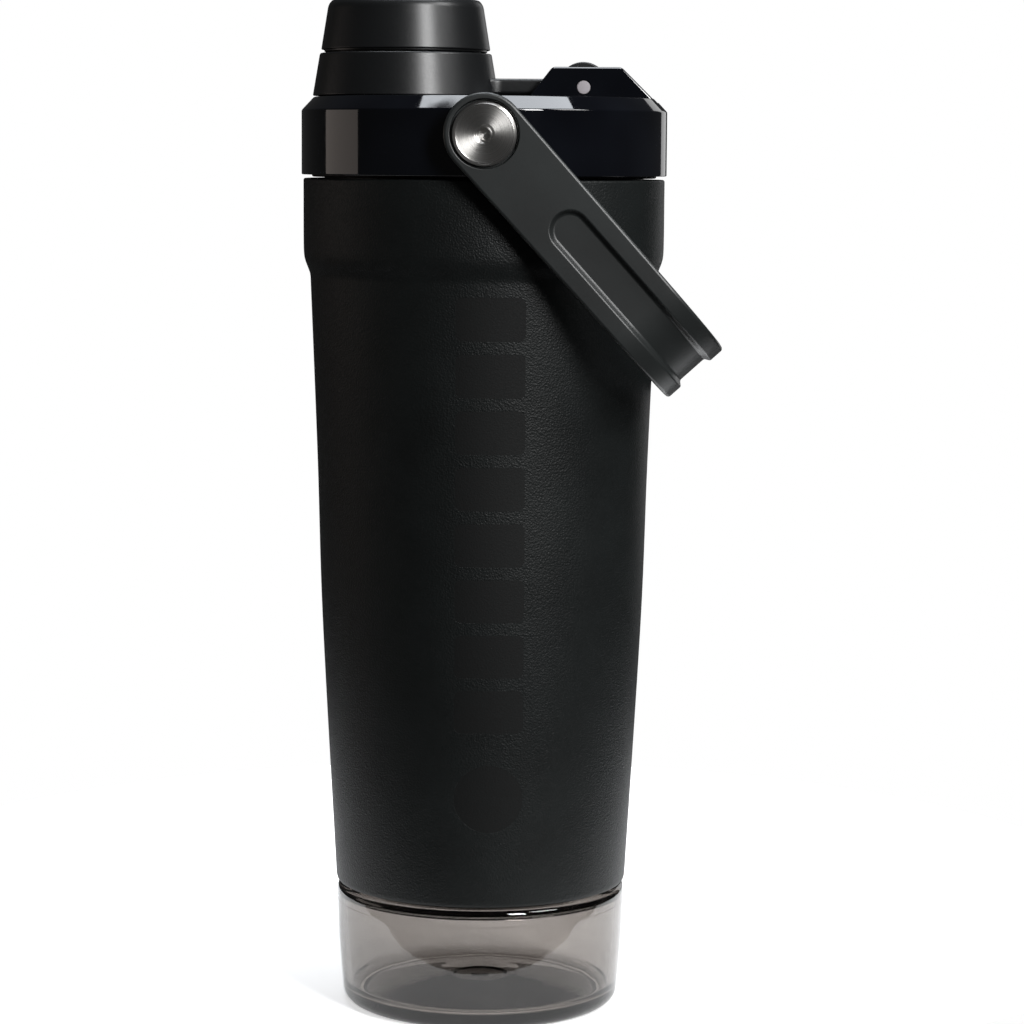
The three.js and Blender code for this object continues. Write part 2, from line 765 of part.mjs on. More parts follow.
const finishes = {
  powderCoat: { color: 0x1a1b1c, roughness: 0.55, metalness: 0.2 },
  bareSteel: { color: 0xb9bbbd, roughness: 0.3, metalness: 1 },
  turnedSteel: { color: 0xc9cbcc, roughness: 0.25, metalness: 1 },
  brass: { color: 0xb08d4a, roughness: 0.35, metalness: 1 },
  clearSmoke: { color: 0x8f8780, roughness: 0.05, metalness: 0, transparent: true, opacity: 0.35 },
  glossBlack: { color: 0x0b0d10, roughness: 0.08, metalness: 0 },
  satinBlack: { color: 0x1d1f20, roughness: 0.4, metalness: 0 },
  greyPlastic: { color: 0x3a3c3e, roughness: 0.5, metalness: 0 },
  nylon: { color: 0xd8d6cf, roughness: 0.5, metalness: 0 },
  rubber: { color: 0x121212, roughness: 0.8, metalness: 0 },
};
const materials = {};
for (const [name, finish] of Object.entries(finishes)) {
  materials[name] = new THREE.MeshStandardMaterial(finish);
}

// The solid as a named mesh with its finish.
function piece(name, shape, finish) {
  const surface = shape.getMesh();
  const geometry = new THREE.BufferGeometry();
  geometry.setAttribute("position", new THREE.BufferAttribute(surface.vertProperties, surface.numProp));
  geometry.setIndex(new THREE.BufferAttribute(surface.triVerts, 1));
  geometry.computeVertexNormals();
  const mesh = new THREE.Mesh(geometry, materials[finish]);
  mesh.name = name;
  return mesh;
}

const bottle = new THREE.Group();
bottle.add(
  piece("body_shell", bodyShell(), "powderCoat"),
  piece("body_liner", bodyLiner(), "bareSteel"),
  piece("base_collar", baseCollar(), "satinBlack"),
  piece("base_seal", baseSeal(), "rubber"),
  piece("base_cup", baseCup(), "clearSmoke"),
);

const lid = new THREE.Group();
lid.add(
  piece("lid_gasket", lidGasket(), "rubber"),
  piece("lid_shell", lidShell(), "glossBlack"),
  piece("inner_lid", innerLid(), "greyPlastic"),
  piece("mixer_grid", mixerGrid(), "greyPlastic"),
  piece("hinge_pin", hingePin(), "bareSteel"),
);
for (const [end, side] of [["front", -1], ["back", 1]]) {
  lid.add(
    piece(`handle_insert_${end}`, insert(side), "brass"),
    piece(`handle_screw_${end}`, screw(side), "turnedSteel"),
    piece(`handle_washer_${end}`, washer(side), "nylon"),
  );
}

// The bushes are made on the pivot axis like the screws, and the handle in its own turned frame.
const swing = new THREE.Group();
swing.position.z = pivotZ;
swing.rotation.y = (restAngle * Math.PI) / 180;
swing.add(piece("handle", handle(), "satinBlack"));
lid.add(
  swing,
  piece("handle_bush_front", bush(-1), "nylon"),
  piece("handle_bush_back", bush(1), "nylon"),
);

const cap = new THREE.Group();
cap.add(
  piece("cap_arm", capArm(), "satinBlack"),
  piece("cap_retainer", capRetainer(), "greyPlastic"),
  piece("cap_seal", capSeal(), "rubber"),
  piece("cap_sleeve", capSleeve(), "greyPlastic"),
  piece("cap_knob", capKnob(), "satinBlack"),
);
lid.add(cap);
bottle.add(lid);

export default bottle;
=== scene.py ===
import json
import math
import bpy
from mathutils import Matrix, Vector


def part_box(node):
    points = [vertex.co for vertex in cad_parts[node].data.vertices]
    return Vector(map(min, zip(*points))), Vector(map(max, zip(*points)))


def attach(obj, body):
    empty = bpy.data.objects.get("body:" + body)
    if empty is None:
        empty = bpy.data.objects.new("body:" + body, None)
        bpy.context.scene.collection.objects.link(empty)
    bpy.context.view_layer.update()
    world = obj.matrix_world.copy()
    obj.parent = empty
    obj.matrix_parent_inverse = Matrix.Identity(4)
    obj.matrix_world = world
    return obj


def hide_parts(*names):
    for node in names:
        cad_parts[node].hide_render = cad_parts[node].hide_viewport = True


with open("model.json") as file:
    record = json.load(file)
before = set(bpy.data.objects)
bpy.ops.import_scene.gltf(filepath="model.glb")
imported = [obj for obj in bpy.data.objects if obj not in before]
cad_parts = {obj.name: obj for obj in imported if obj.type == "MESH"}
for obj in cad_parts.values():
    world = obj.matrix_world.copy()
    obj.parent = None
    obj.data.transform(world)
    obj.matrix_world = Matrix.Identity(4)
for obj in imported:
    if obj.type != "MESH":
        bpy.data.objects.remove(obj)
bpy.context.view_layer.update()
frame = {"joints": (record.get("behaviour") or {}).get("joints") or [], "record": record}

MM = 0.001
TAU = 2 * math.pi


def span(node):
    """Lowest and highest corner of a CAD node in millimetres."""
    low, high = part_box(node)
    return [c / MM for c in low], [c / MM for c in high]


# ---------------------------------------------------------------- places from the CAD model

SHELL, LINER, CUP = span("body_shell"), span("body_liner"), span("base_cup")
COLLAR, SEAL, GASKET = span("base_collar"), span("base_seal"), span("lid_gasket")
LID, PLUG, GRID = span("lid_shell"), span("inner_lid"), span("mixer_grid")
ARM, KNOB, SLEEVE = span("cap_arm"), span("cap_knob"), span("cap_sleeve")
CAP_SEAL, RETAINER, PIN = span("cap_seal"), span("cap_retainer"), span("hinge_pin")
SCREW, BUSH, HANDLE = span("handle_screw_front"), span("handle_bush_front"), span("handle")
JOINTS = {joint["name"]: joint for joint in frame["joints"]}
BODY_OF = {node: body for body, nodes in frame["record"]["behaviour"]["bodies"].items() for node in nodes}

SPOUT_X = JOINTS["cap_turn"]["pos_m"][0] / MM
HINGE_X, _, HINGE_Z = (c / MM for c in JOINTS["cap_flip"]["pos_m"])
PIVOT_Z = JOINTS["handle_swing"]["pos_m"][2] / MM
REST_ANGLE = math.radians(48.0)  # the grip hangs this far below level

ROUND = 144  # steps round the bottle
LID_STEPS = 192  # steps round the gloss lid, whose mirror shows every facet
SPOUT_STEPS = 112  # steps round the spout and the cap
SMALL_STEPS = 64  # steps round a pin or a bush
SCREW_STEPS = 96  # steps round a screw's head and its pad
KNUCKLE_STEPS = 72  # steps round the hollow for the hinge knuckle
PIN_BORE_STEPS = 48  # steps round the hinge pin's bore
WELD_GAP = 0.002  # points closer than this are one
ROUND_STEPS = 5  # steps in a rounded corner of an outline
MOST_OF_EDGE = 0.48  # the part of an edge that a rounded corner may take up

# ---------------------------------------------------------------- camera

EYE_DISTANCE = 786  # in front of the bottle's axis
EYE_HEIGHT = 210
LENS = 112.5
PITCH = math.radians(6.375)  # looking down
YAW = math.radians(0.533)  # turned a little to the right of the bottle
ROLL = math.radians(0.36)

eye = bpy.data.cameras.new("eye")
eye.lens = LENS
eye.clip_start = 0.02
camera = bpy.data.objects.new("eye", eye)
bpy.context.scene.collection.objects.link(camera)
turn = Matrix.Rotation(-YAW, 4, "Z") @ Matrix.Rotation(math.pi / 2 - PITCH, 4, "X")
turn = turn @ Matrix.Rotation(ROLL, 4, "Z")
camera.matrix_world = Matrix.Translation((0, -EYE_DISTANCE * MM, EYE_HEIGHT * MM)) @ turn
bpy.context.scene.camera = camera
bpy.context.scene.view_settings.view_transform = "Standard"

# ---------------------------------------------------------------- modelling by hand


def deselect():
    bpy.ops.object.select_all(action="DESELECT")


def edit_all(*steps):
    """Runs edit-mode steps with everything selected."""
    bpy.ops.object.mode_set(mode="EDIT")
    for step in steps:
        bpy.ops.mesh.select_all(action="SELECT")
        step()
    bpy.ops.object.mode_set(mode="OBJECT")


def weld():
    bpy.ops.mesh.remove_doubles(threshold=WELD_GAP * MM)


def face_out():
    bpy.ops.mesh.normals_make_consistent(inside=False)


def settle(name):
    """Names the active object, and puts its place into its mesh."""
    piece = bpy.context.object
    piece.name = piece.data.name = name
    bpy.ops.object.transform_apply(location=True, rotation=True, scale=True)
    return piece


def apply_modifier(piece, kind, **settings):
    modifier = piece.modifiers.new(kind.lower(), kind)
    for key, value in settings.items():
        setattr(modifier, key, value)
    bpy.context.view_layer.objects.active = piece
    bpy.ops.object.modifier_apply(modifier=modifier.name)


def join(piece, tool, operation="UNION"):
    """Joins a tool to a piece or cuts it away, and removes the tool."""
    apply_modifier(piece, "BOOLEAN", object=tool, operation=operation, solver="EXACT")
    bpy.data.objects.remove(tool, do_unlink=True)


def cut(piece, tool):
    join(piece, tool, "DIFFERENCE")


def soften(piece, width, segments=3, angle=35):
    """Rounds the sharp edges."""
    apply_modifier(
        piece, "BEVEL", width=width * MM, segments=segments, limit_method="ANGLE",
        angle_limit=math.radians(angle), miter_outer="MITER_ARC", use_clamp_overlap=True,
    )


def smooth(piece, angle=32):
    deselect()
    piece.select_set(True)
    bpy.context.view_layer.objects.active = piece
    bpy.ops.object.shade_smooth_by_angle(angle=math.radians(angle))


def rounded(spots, rounds, closed):
    """Places with each corner whose round is set turned into a short curve of that size."""
    made = []
    for i, (spot, size) in enumerate(zip(spots, rounds)):
        if not size or not (closed or 0 < i < len(spots) - 1):
            made.append(spot)
            continue
        before, after = spots[i - 1] - spot, spots[(i + 1) % len(spots)] - spot
        near = before.normalized() * min(size, MOST_OF_EDGE * before.length)
        far = after.normalized() * min(size, MOST_OF_EDGE * after.length)
        for step in range(ROUND_STEPS + 1):
            t = step / ROUND_STEPS
            made.append(spot + near * (1 - t) ** 2 + far * t**2)
    return made


def draw(places, rounds=None, closed=False):
    """A chain of edges through places in millimetres, drawn by extruding a point."""
    deselect()
    spots = rounded([Vector(place) for place in places], rounds or [0] * len(places), closed)
    if closed:
        spots.append(spots[0])
    bpy.ops.mesh.primitive_plane_add(size=MM, location=spots[0] * MM)
    bpy.ops.object.mode_set(mode="EDIT")
    bpy.ops.mesh.merge(type="CENTER")
    for here, there in zip(spots, spots[1:]):
        bpy.ops.mesh.extrude_region_move(TRANSFORM_OT_translate={"value": (there - here) * MM})
    bpy.ops.object.mode_set(mode="OBJECT")
    bpy.ops.object.transform_apply(location=True)


def turned(name, profile, x=0, z=None, steps=ROUND):
    """A solid turned from [radius, height] points, some with a rounding as a third value. It turns about the
    vertical through (x, 0), or about the line through (x, z) along Y, where heights are then y."""
    spots = [(x + p[0], 0, p[1]) if z is None else (x + p[0], p[1], z) for p in profile]
    rounds = [p[2] if len(p) > 2 else 0 for p in profile]
    draw(spots, rounds, profile[0][0] > 0)
    centre = (x * MM, 0, 0) if z is None else (x * MM, 0, z * MM)
    axis = (0, 0, 1) if z is None else (0, 1, 0)
    edit_all(lambda: bpy.ops.mesh.spin(steps=steps, angle=TAU, center=centre, axis=axis), weld, face_out)
    return settle(name)


def block(name, x, y, z):
    """A box between two values on each axis."""
    deselect()
    middle = [sum(pair) / 2 * MM for pair in (x, y, z)]
    size = [(pair[1] - pair[0]) * MM for pair in (x, y, z)]
    bpy.ops.mesh.primitive_cube_add(size=1, location=middle, scale=size)
    return settle(name)


def bar(name, radius, y, x, z, steps=SMALL_STEPS):
    """A round bar along Y through (x, z), between two values of y."""
    deselect()
    place = (x * MM, sum(y) / 2 * MM, z * MM)
    bpy.ops.mesh.primitive_cylinder_add(
        vertices=steps, radius=radius * MM, depth=(y[1] - y[0]) * MM, location=place,
        rotation=(math.pi / 2, 0, 0),
    )
    return settle(name)


def post(name, radius, z, x, steps=SPOUT_STEPS):
    """A round post along Z at x, between two heights."""
    deselect()
    place = (x * MM, 0, sum(z) / 2 * MM)
    bpy.ops.mesh.primitive_cylinder_add(
        vertices=steps, radius=radius * MM, depth=(z[1] - z[0]) * MM, location=place
    )
    return settle(name)


def slab(name, outline, push):
    """A flat outline of 3D places, filled and extruded by push. A place's fourth value rounds its corner."""
    spots = [place[:3] for place in outline]
    rounds = [place[3] if len(place) > 3 else 0 for place in outline]
    draw(spots, rounds, True)
    edit_all(
        weld,
        bpy.ops.mesh.edge_face_add,
        lambda: bpy.ops.mesh.extrude_region_move(TRANSFORM_OT_translate={"value": Vector(push) * MM}),
        face_out,
    )
    return settle(name)


RIDGE_SUNK = 0.3  # how far a thread's ridge reaches into its wall
RIDGE_START = 0.1  # part of a ridge's full rise at its very end


def ridge(wall_r, crest_r, width, lead, turns, z, start=0.0, x=0, steps_a_turn=72):
    """A right-hand thread ridge on a wall, wound by a Screw modifier, with ends that fade into the wall."""
    out = 1 if crest_r > wall_r else -1
    half = width / 2
    sunk_r, crest_half = wall_r - RIDGE_SUNK * out, 0.6 * half
    section = [(sunk_r, -half), (crest_r, -crest_half), (crest_r, crest_half), (sunk_r, half)]
    draw([(r, 0, h) for r, h in section], closed=True)
    edit_all(weld)
    wound = settle("ridge")
    steps = round(turns * steps_a_turn)
    apply_modifier(
        wound, "SCREW", axis="Z", angle=TAU * turns, screw_offset=lead * turns * MM, iterations=1,
        steps=steps, render_steps=steps, use_merge_vertices=False,
    )
    fade = steps_a_turn / 12  # the ridge rises over 30 degrees
    for i, vertex in enumerate(wound.data.vertices):
        step = i // len(section)
        rise = min(1, RIDGE_START + min(step, steps - step) / fade)
        radius = math.hypot(vertex.co.x, vertex.co.y)
        if (radius - wall_r * MM) * out > 0:
            vertex.co.xy *= (wall_r * MM + (radius - wall_r * MM) * rise) / radius
    edit_all(lambda: bpy.ops.mesh.fill_holes(sides=0), face_out)
    wound.rotation_euler.z = start
    wound.location = (x * MM, 0, z * MM)
    deselect()
    wound.select_set(True)
    return settle("ridge")


# ---------------------------------------------------------------- materials


def linear(colour):
    """An sRGB hex colour as linear red, green and blue with alpha 1."""
    parts = [int(colour[i : i + 2], 16) / 255 for i in (1, 3, 5)]
    return (*[c / 12.92 if c <= 0.04045 else ((c + 0.055) / 1.055) ** 2.4 for c in parts], 1.0)


def add(tree, kind, inputs=(), out=0, **settings):
    """Adds one node and returns one of its outputs. The inputs are listed in order, or given by name. An
    input that is a socket is linked, and any other is set."""
    made = tree.nodes.new("ShaderNode" + kind)
    for key, value in settings.items():
        setattr(made, key, value)
    given = inputs if isinstance(inputs, dict) else dict(enumerate(inputs))
    for key, value in given.items():
        if isinstance(value, bpy.types.NodeSocket):
            tree.links.new(value, made.inputs[key])
        else:
            made.inputs[key].default_value = value
    return made.outputs[out] if len(made.outputs) else None


def start_material(name, **inputs):
    """A material with a Principled shader. Returns it, its tree, its shader and the object's own place."""
    material = bpy.data.materials.new(name)
    material.use_nodes = True
    tree = material.node_tree
    shader = tree.nodes["Principled BSDF"]
    for key, value in inputs.items():
        shader.inputs[key.replace("_", " ")].default_value = value
    return material, tree, shader, add(tree, "TexCoord", out="Object")


MID = (0.3, 0.7)  # the range that most of a noise's values lie in


def scale_for(size):
    """The scale that makes a pattern's features about size millimetres across."""
    return 1 / (size * MM)


def dress(tree, shader, colours, relief, roughness=None):
    """Links patterns to a shader. colours is a factor and the two hex colours it goes between, relief is a
    height and its depth in millimetres, and roughness is a value."""
    factor, first, second = colours
    mixed = add(tree, "Mix", {0: factor, 6: linear(first), 7: linear(second)}, 2, data_type="RGBA")
    tree.links.new(mixed, shader.inputs["Base Color"])
    height, depth = relief
    bumped = add(tree, "Bump", {"Height": height, "Distance": depth * MM, "Strength": 1.0})
    tree.links.new(bumped, shader.inputs["Normal"])
    if roughness:
        tree.links.new(roughness, shader.inputs["Roughness"])


MARK_X = 1.7
MARK_HALF = 8.2  # half a bar's width, and the disc's radius
MARK_LOW = 72  # foot of the lowest bar's place
MARK_PITCH = 13.3
MARK_BAR = 10.3  # a bar's height
MARK_ROUND = 1.6
MARK_BARS = 8
MARK_DISC_Z = 57.5


def mark_mask(tree, place):
    """1 inside a plain column of rounded bars with a plain disc below it, on the front of the body."""
    in_mm = add(tree, "VectorMath", {0: place, "Scale": 1 / MM}, operation="SCALE")
    x, y, z = (add(tree, "SeparateXYZ", (in_mm,), i) for i in range(3))
    across = add(tree, "Math", (x, MARK_X), operation="SUBTRACT")
    up = add(tree, "Math", (z, MARK_LOW), operation="SUBTRACT")
    along = add(tree, "Math", (up, MARK_PITCH), operation="MODULO")
    along = add(tree, "Math", (along, MARK_PITCH / 2), operation="SUBTRACT")
    # How far a point lies outside the square core of its bar, both ways.
    outside = []
    for offset, half in ((across, MARK_HALF), (along, MARK_BAR / 2)):
        offset = add(tree, "Math", (offset,), operation="ABSOLUTE")
        offset = add(tree, "Math", (offset, half - MARK_ROUND), operation="SUBTRACT")
        outside.append(add(tree, "Math", (offset, 0), operation="MAXIMUM"))
    corner = add(tree, "CombineXYZ", outside)
    corner_r = add(tree, "VectorMath", (corner,), "Value", operation="LENGTH")
    bars = add(tree, "Math", (corner_r, MARK_ROUND), operation="LESS_THAN")
    above_foot = add(tree, "Math", (up, 0), operation="GREATER_THAN")
    below_top = add(tree, "Math", (up, MARK_BARS * MARK_PITCH), operation="LESS_THAN")
    bars = add(tree, "Math", (bars, above_foot), operation="MULTIPLY")
    bars = add(tree, "Math", (bars, below_top), operation="MULTIPLY")
    down = add(tree, "Math", (z, MARK_DISC_Z), operation="SUBTRACT")
    spoke = add(tree, "CombineXYZ", (across, down))
    spoke_r = add(tree, "VectorMath", (spoke,), "Value", operation="LENGTH")
    disc = add(tree, "Math", (spoke_r, MARK_HALF), operation="LESS_THAN")
    either = add(tree, "Math", (bars, disc), operation="MAXIMUM")
    front = add(tree, "Math", (y, 0), operation="LESS_THAN")
    return add(tree, "Math", (either, front), operation="MULTIPLY")


def powder_coat():
    """Polyester powder coat on steel, baked with a fine wrinkle. The wrinkle breaks the sheen into small
    glints where a light is mirrored. The printed mark fills it, so the mark is flatter, duller and darker."""
    material, tree, shader, place = start_material("powder_coat", Roughness=0.46, Specular_IOR_Level=0.27)
    mark = mark_mask(tree, place)
    cells = {"Vector": place, "Scale": scale_for(0.45), "Smoothness": 0.5}
    wrinkle = add(tree, "TexVoronoi", cells, feature="SMOOTH_F1")
    fine = add(tree, "TexNoise", {"Vector": place, "Scale": scale_for(0.35), "Detail": 2})
    wrinkle_part = add(tree, "Math", (wrinkle, 0.7), operation="MULTIPLY")
    fine_part = add(tree, "Math", (fine, 0.6), operation="MULTIPLY")
    height = add(tree, "Math", (wrinkle_part, fine_part), operation="ADD")
    height = add(tree, "Math", (height, add(tree, "MapRange", (mark, 0, 1, 1.0, 0.25))), operation="MULTIPLY")
    cloudy = add(tree, "TexNoise", {"Vector": place, "Scale": scale_for(14), "Detail": 2})
    coat_tone = add(tree, "MapRange", (cloudy, *MID, 0.6, 1.0))
    mark_tone = add(tree, "MapRange", (mark, 0, 1, 1.0, 0.15))
    tone = add(tree, "Math", (mark_tone, coat_tone), operation="MULTIPLY")
    coat_rough = add(tree, "MapRange", (fine, *MID, 0.40, 0.54))
    mark_rough = add(tree, "MapRange", (mark, 0, 1, 0.0, 0.2))
    rough = add(tree, "Math", (coat_rough, mark_rough), operation="ADD")
    dress(tree, shader, (tone, "#020303", "#131616"), (height, 0.11), rough)
    return material


def moulded(name, colour, second, roughness, specular=0.5):
    """Injection-moulded plastic from a spark-eroded mould: an even satin with a very fine pebble."""
    material, tree, shader, place = start_material(name, Roughness=roughness, Specular_IOR_Level=specular)
    pebble = add(tree, "TexNoise", {"Vector": place, "Scale": scale_for(0.25), "Detail": 2})
    flow = add(tree, "TexNoise", {"Vector": place, "Scale": scale_for(18), "Detail": 2})
    tone = add(tree, "MapRange", (flow, *MID, 0, 1))
    rough = add(tree, "MapRange", (pebble, *MID, roughness - 0.03, roughness + 0.04))
    dress(tree, shader, (tone, colour, second), (pebble, 0.008), rough)
    return material


def gloss_abs():
    """Polished ABS: a deep, slightly blue black with mirror reflections that waver a little with the flow."""
    material, tree, shader, place = start_material("gloss_abs", Roughness=0.05, IOR=1.54)
    flow = add(tree, "TexNoise", {"Vector": place, "Scale": scale_for(16), "Detail": 1})
    smear = add(tree, "TexNoise", {"Vector": place, "Scale": scale_for(3), "Detail": 3})
    tone = add(tree, "MapRange", (flow, *MID, 0, 1))
    rough = add(tree, "MapRange", (smear, 0.35, 0.7, 0.035, 0.07))
    dress(tree, shader, (tone, "#05060a", "#0a0c11"), (flow, 0.02), rough)
    return material


def clear_copolyester():
    """Smoke-tinted clear copolyester from a polished mould: nearly clear head on and darker where the view
    runs along the wall, with a slight waviness left by the mould."""
    material, tree, shader, place = start_material("clear_copolyester", Roughness=0.02, IOR=1.54)
    shader.inputs["Transmission Weight"].default_value = 1.0
    wave = add(tree, "TexNoise", {"Vector": place, "Scale": scale_for(9), "Detail": 2})
    tone = add(tree, "MapRange", (wave, *MID, 0, 1))
    dress(tree, shader, (tone, "#efedeb", "#f6f4f2"), (wave, 0.05))
    smoke = add(tree, "VolumeAbsorption", {"Color": linear("#938a83"), "Density": 400})
    tree.links.new(smoke, tree.nodes["Material Output"].inputs["Volume"])
    return material


def turned_stainless():
    """Stainless steel faced on a lathe: fine rings round the axis draw each light out into a bow tie. Real
    tool marks are finer than these rings, and would not show."""
    material, tree, shader, place = start_material(
        "turned_stainless", Metallic=1.0, Roughness=0.3, Anisotropic=0.85, Anisotropic_Rotation=0.25
    )
    around = add(tree, "Tangent", direction_type="RADIAL", axis="Y")
    tree.links.new(around, shader.inputs["Tangent"])
    to_axis = {"Vector": place, "Location": (0, 0, -PIVOT_Z * MM), "Scale": (1, 0, 1)}
    from_axis = add(tree, "Mapping", to_axis)
    radius = add(tree, "VectorMath", (from_axis,), "Value", operation="LENGTH")
    rings = add(
        tree, "TexNoise", {"W": radius, "Scale": scale_for(0.12), "Detail": 2}, noise_dimensions="1D"
    )
    tone = add(tree, "MapRange", (rings, *MID, 0, 1))
    rough = add(tree, "MapRange", (rings, *MID, 0.26, 0.34))
    dress(tree, shader, (tone, "#c9c7c4", "#dddbd8"), (rings, 0.002), rough)
    return material


def drawn_stainless():
    """Stainless steel drawn and polished inside: a soft satin with faint rings round the axis."""
    material, tree, shader, place = start_material("drawn_stainless", Metallic=1.0, Roughness=0.3)
    stretched = add(tree, "Mapping", {"Vector": place, "Scale": (0.15, 0.15, 6)})
    lines = add(tree, "TexNoise", {"Vector": stretched, "Scale": scale_for(1.5), "Detail": 4})
    tone = add(tree, "MapRange", (lines, *MID, 0, 1))
    rough = add(tree, "MapRange", (lines, *MID, 0.24, 0.38))
    dress(tree, shader, (tone, "#9c9b99", "#b8b7b5"), (lines, 0.01), rough)
    return material


def ground_steel():
    """Pin ends ground flat and left dull, so that they read as a pale grey disc."""
    material, tree, shader, place = start_material("ground_steel", Metallic=0.25, Roughness=0.5)
    scratch = add(tree, "TexNoise", {"Vector": place, "Scale": scale_for(0.3), "Detail": 3})
    dress(tree, shader, (scratch, "#8d888c", "#aaa5a9"), (scratch, 0.004))
    return material


def turned_brass():
    """Free-cutting brass straight from the lathe: yellow, with fine tool marks."""
    material, tree, shader, place = start_material("turned_brass", Metallic=1.0, Roughness=0.3)
    marks = add(tree, "TexNoise", {"Vector": place, "Scale": scale_for(0.4), "Detail": 3})
    dress(tree, shader, (marks, "#a88646", "#caa75f"), (marks, 0.01))
    return material


def silicone():
    """Black silicone rubber from a matt mould: dull, with a faint bloom."""
    material, tree, shader, place = start_material("silicone", Roughness=0.6, Specular_IOR_Level=0.4)
    bloom = add(tree, "TexNoise", {"Vector": place, "Scale": scale_for(2), "Detail": 4})
    grain = add(tree, "TexNoise", {"Vector": place, "Scale": scale_for(0.3), "Detail": 2})
    rough = add(tree, "MapRange", (bloom, *MID, 0.5, 0.68))
    dress(tree, shader, (bloom, "#090909", "#151515"), (grain, 0.01), rough)
    return material


FINISH = {
    "powder_coat": powder_coat(),
    "bare_steel": drawn_stainless(),
    "turned_steel": turned_stainless(),
    "pin_end": ground_steel(),
    "brass_insert": turned_brass(),
    "clear_smoke": clear_copolyester(),
    "gloss_black": gloss_abs(),
    "satin_black": moulded("satin_polypropylene", "#101112", "#131415", 0.33, specular=0.45),
    "handle_black": moulded("satin_nylon", "#1d1f1f", "#232626", 0.38),
    "grey_plastic": moulded("grey_polypropylene", "#2b2d2f", "#323436", 0.45),
    "nylon": moulded("natural_nylon", "#cdc9bf", "#dedbd2", 0.45),
    "black_rubber": silicone(),
}
SLOT_OF = {part["node"]: part["material_slot"] for part in frame["record"]["subparts"]}


def place(piece, node, finish=None, angle=32):
    """Gives a finished piece its material, and makes it stand for a CAD node and ride on its body."""
    slot = SLOT_OF[node]
    piece.data.materials.clear()
    piece.data.materials.append(FINISH[finish or slot])
    smooth(piece, angle)
    apply_modifier(piece, "WEIGHTED_NORMAL", keep_sharp=True)
    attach(piece, BODY_OF[node])
    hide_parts(node)


# ---------------------------------------------------------------- steel body

RIM_Z, RIM_R = SHELL[1][2], SHELL[1][0]
FOOT_Z = SHELL[0][2]
SHOULDER_STEP = 1.7  # the top of the body stands out by this much
SHOULDER_DROP, SHOULDER_RISE = 24.2, 7  # the step's foot below the rim, and its height
TAPER = 6.4  # loss of radius from shoulder to foot
LOWER_BELLY, UPPER_BELLY = 0.69, 0.2  # how far the side swells out of a straight taper
LOWER_BELLY_AT, UPPER_BELLY_AT = 0.43, 0.7
CURL = 1.3  # height of the foot's round
STEEL, WALL = 0.6, 3.5  # sheet, and the whole double wall
SHEET_GAP = 0.3  # gap where the two sheets meet
FOOT_LIP = 1.4  # how far the foot turns in
LIP_Z = LINER[0][2]
SIDE_STEPS = 24

# Width of the ridge, rise in one turn, and number of turns of each thread.
LID_THREAD = (1.8, 6, 1.2)
BASE_THREAD = (1.5, 5, 1.1)
CAP_THREAD = (1.3, 4, 1.1)
LID_RIDGE, BASE_RIDGE, SPOUT_RIDGE, SLEEVE_RIDGE = 1.2, 1.0, 0.9, 0.5  # how far each stands out
LID_THREAD_Z = RIM_Z - 10.2


def spline(points, t):
    """A smooth curve through points, for t from 0 to 1."""
    spot = t * (len(points) - 1)
    i = min(int(spot), len(points) - 2)
    w = spot - i
    p0, p1, p2, p3 = (points[max(0, min(len(points) - 1, i + k))] for k in (-1, 0, 1, 2))
    return [
        b + 0.5 * w * ((c - a) + w * ((2 * a - 5 * b + 4 * c - d) + w * (3 * (b - c) + d - a)))
        for a, b, c, d in zip(p0, p1, p2, p3)
    ]


def body_side():
    """The steel body's outer side, as [radius, height] from the foot to the rim."""
    shoulder_r, low = RIM_R - SHOULDER_STEP, FOOT_Z + CURL
    tall = RIM_Z - SHOULDER_DROP - low
    foot_r = shoulder_r - TAPER
    knots = [
        (foot_r, low),
        (foot_r + LOWER_BELLY_AT * TAPER + LOWER_BELLY, low + LOWER_BELLY_AT * tall),
        (foot_r + UPPER_BELLY_AT * TAPER + UPPER_BELLY, low + UPPER_BELLY_AT * tall),
        (shoulder_r, low + tall),
    ]
    taper = [spline(knots, i / SIDE_STEPS) for i in range(SIDE_STEPS + 1)]
    start = low + tall
    # The shoulder's soft step, as parts of its width and height.
    swell = [
        (0.03, 0.08), (0.1, 0.17), (0.25, 0.28), (0.48, 0.42),
        (0.7, 0.56), (0.86, 0.7), (0.94, 0.85), (0.98, 1.05),
    ]
    rise = [(shoulder_r + SHOULDER_STEP * r, start + SHOULDER_RISE * h) for r, h in swell]
    return [*taper, *rise, (RIM_R, start + 1.6 * SHOULDER_RISE)]


SIDE = body_side()
FOOT_R = SIDE[0][0]


def inset(points, by):
    return [(r - by, z) for r, z in points]


def body_shell():
    top_in, foot_in = RIM_R - WALL + STEEL + SHEET_GAP, FOOT_R - WALL + STEEL + SHEET_GAP
    lip_r = FOOT_R - FOOT_LIP
    return turned(
        "steel_body",
        [
            (lip_r, FOOT_Z, 0.25), (FOOT_R - 0.25, FOOT_Z, 1.0), *SIDE, (RIM_R, RIM_Z, 0.6),
            (top_in, RIM_Z, 0.2), (top_in, RIM_Z - 1), (RIM_R - STEEL - 0.4, RIM_Z - 1),
            *inset(SIDE[1:], STEEL)[::-1],
            (FOOT_R - STEEL, LIP_Z + STEEL), (foot_in, LIP_Z + STEEL), (foot_in, LIP_Z), (lip_r, LIP_Z),
        ],
    )


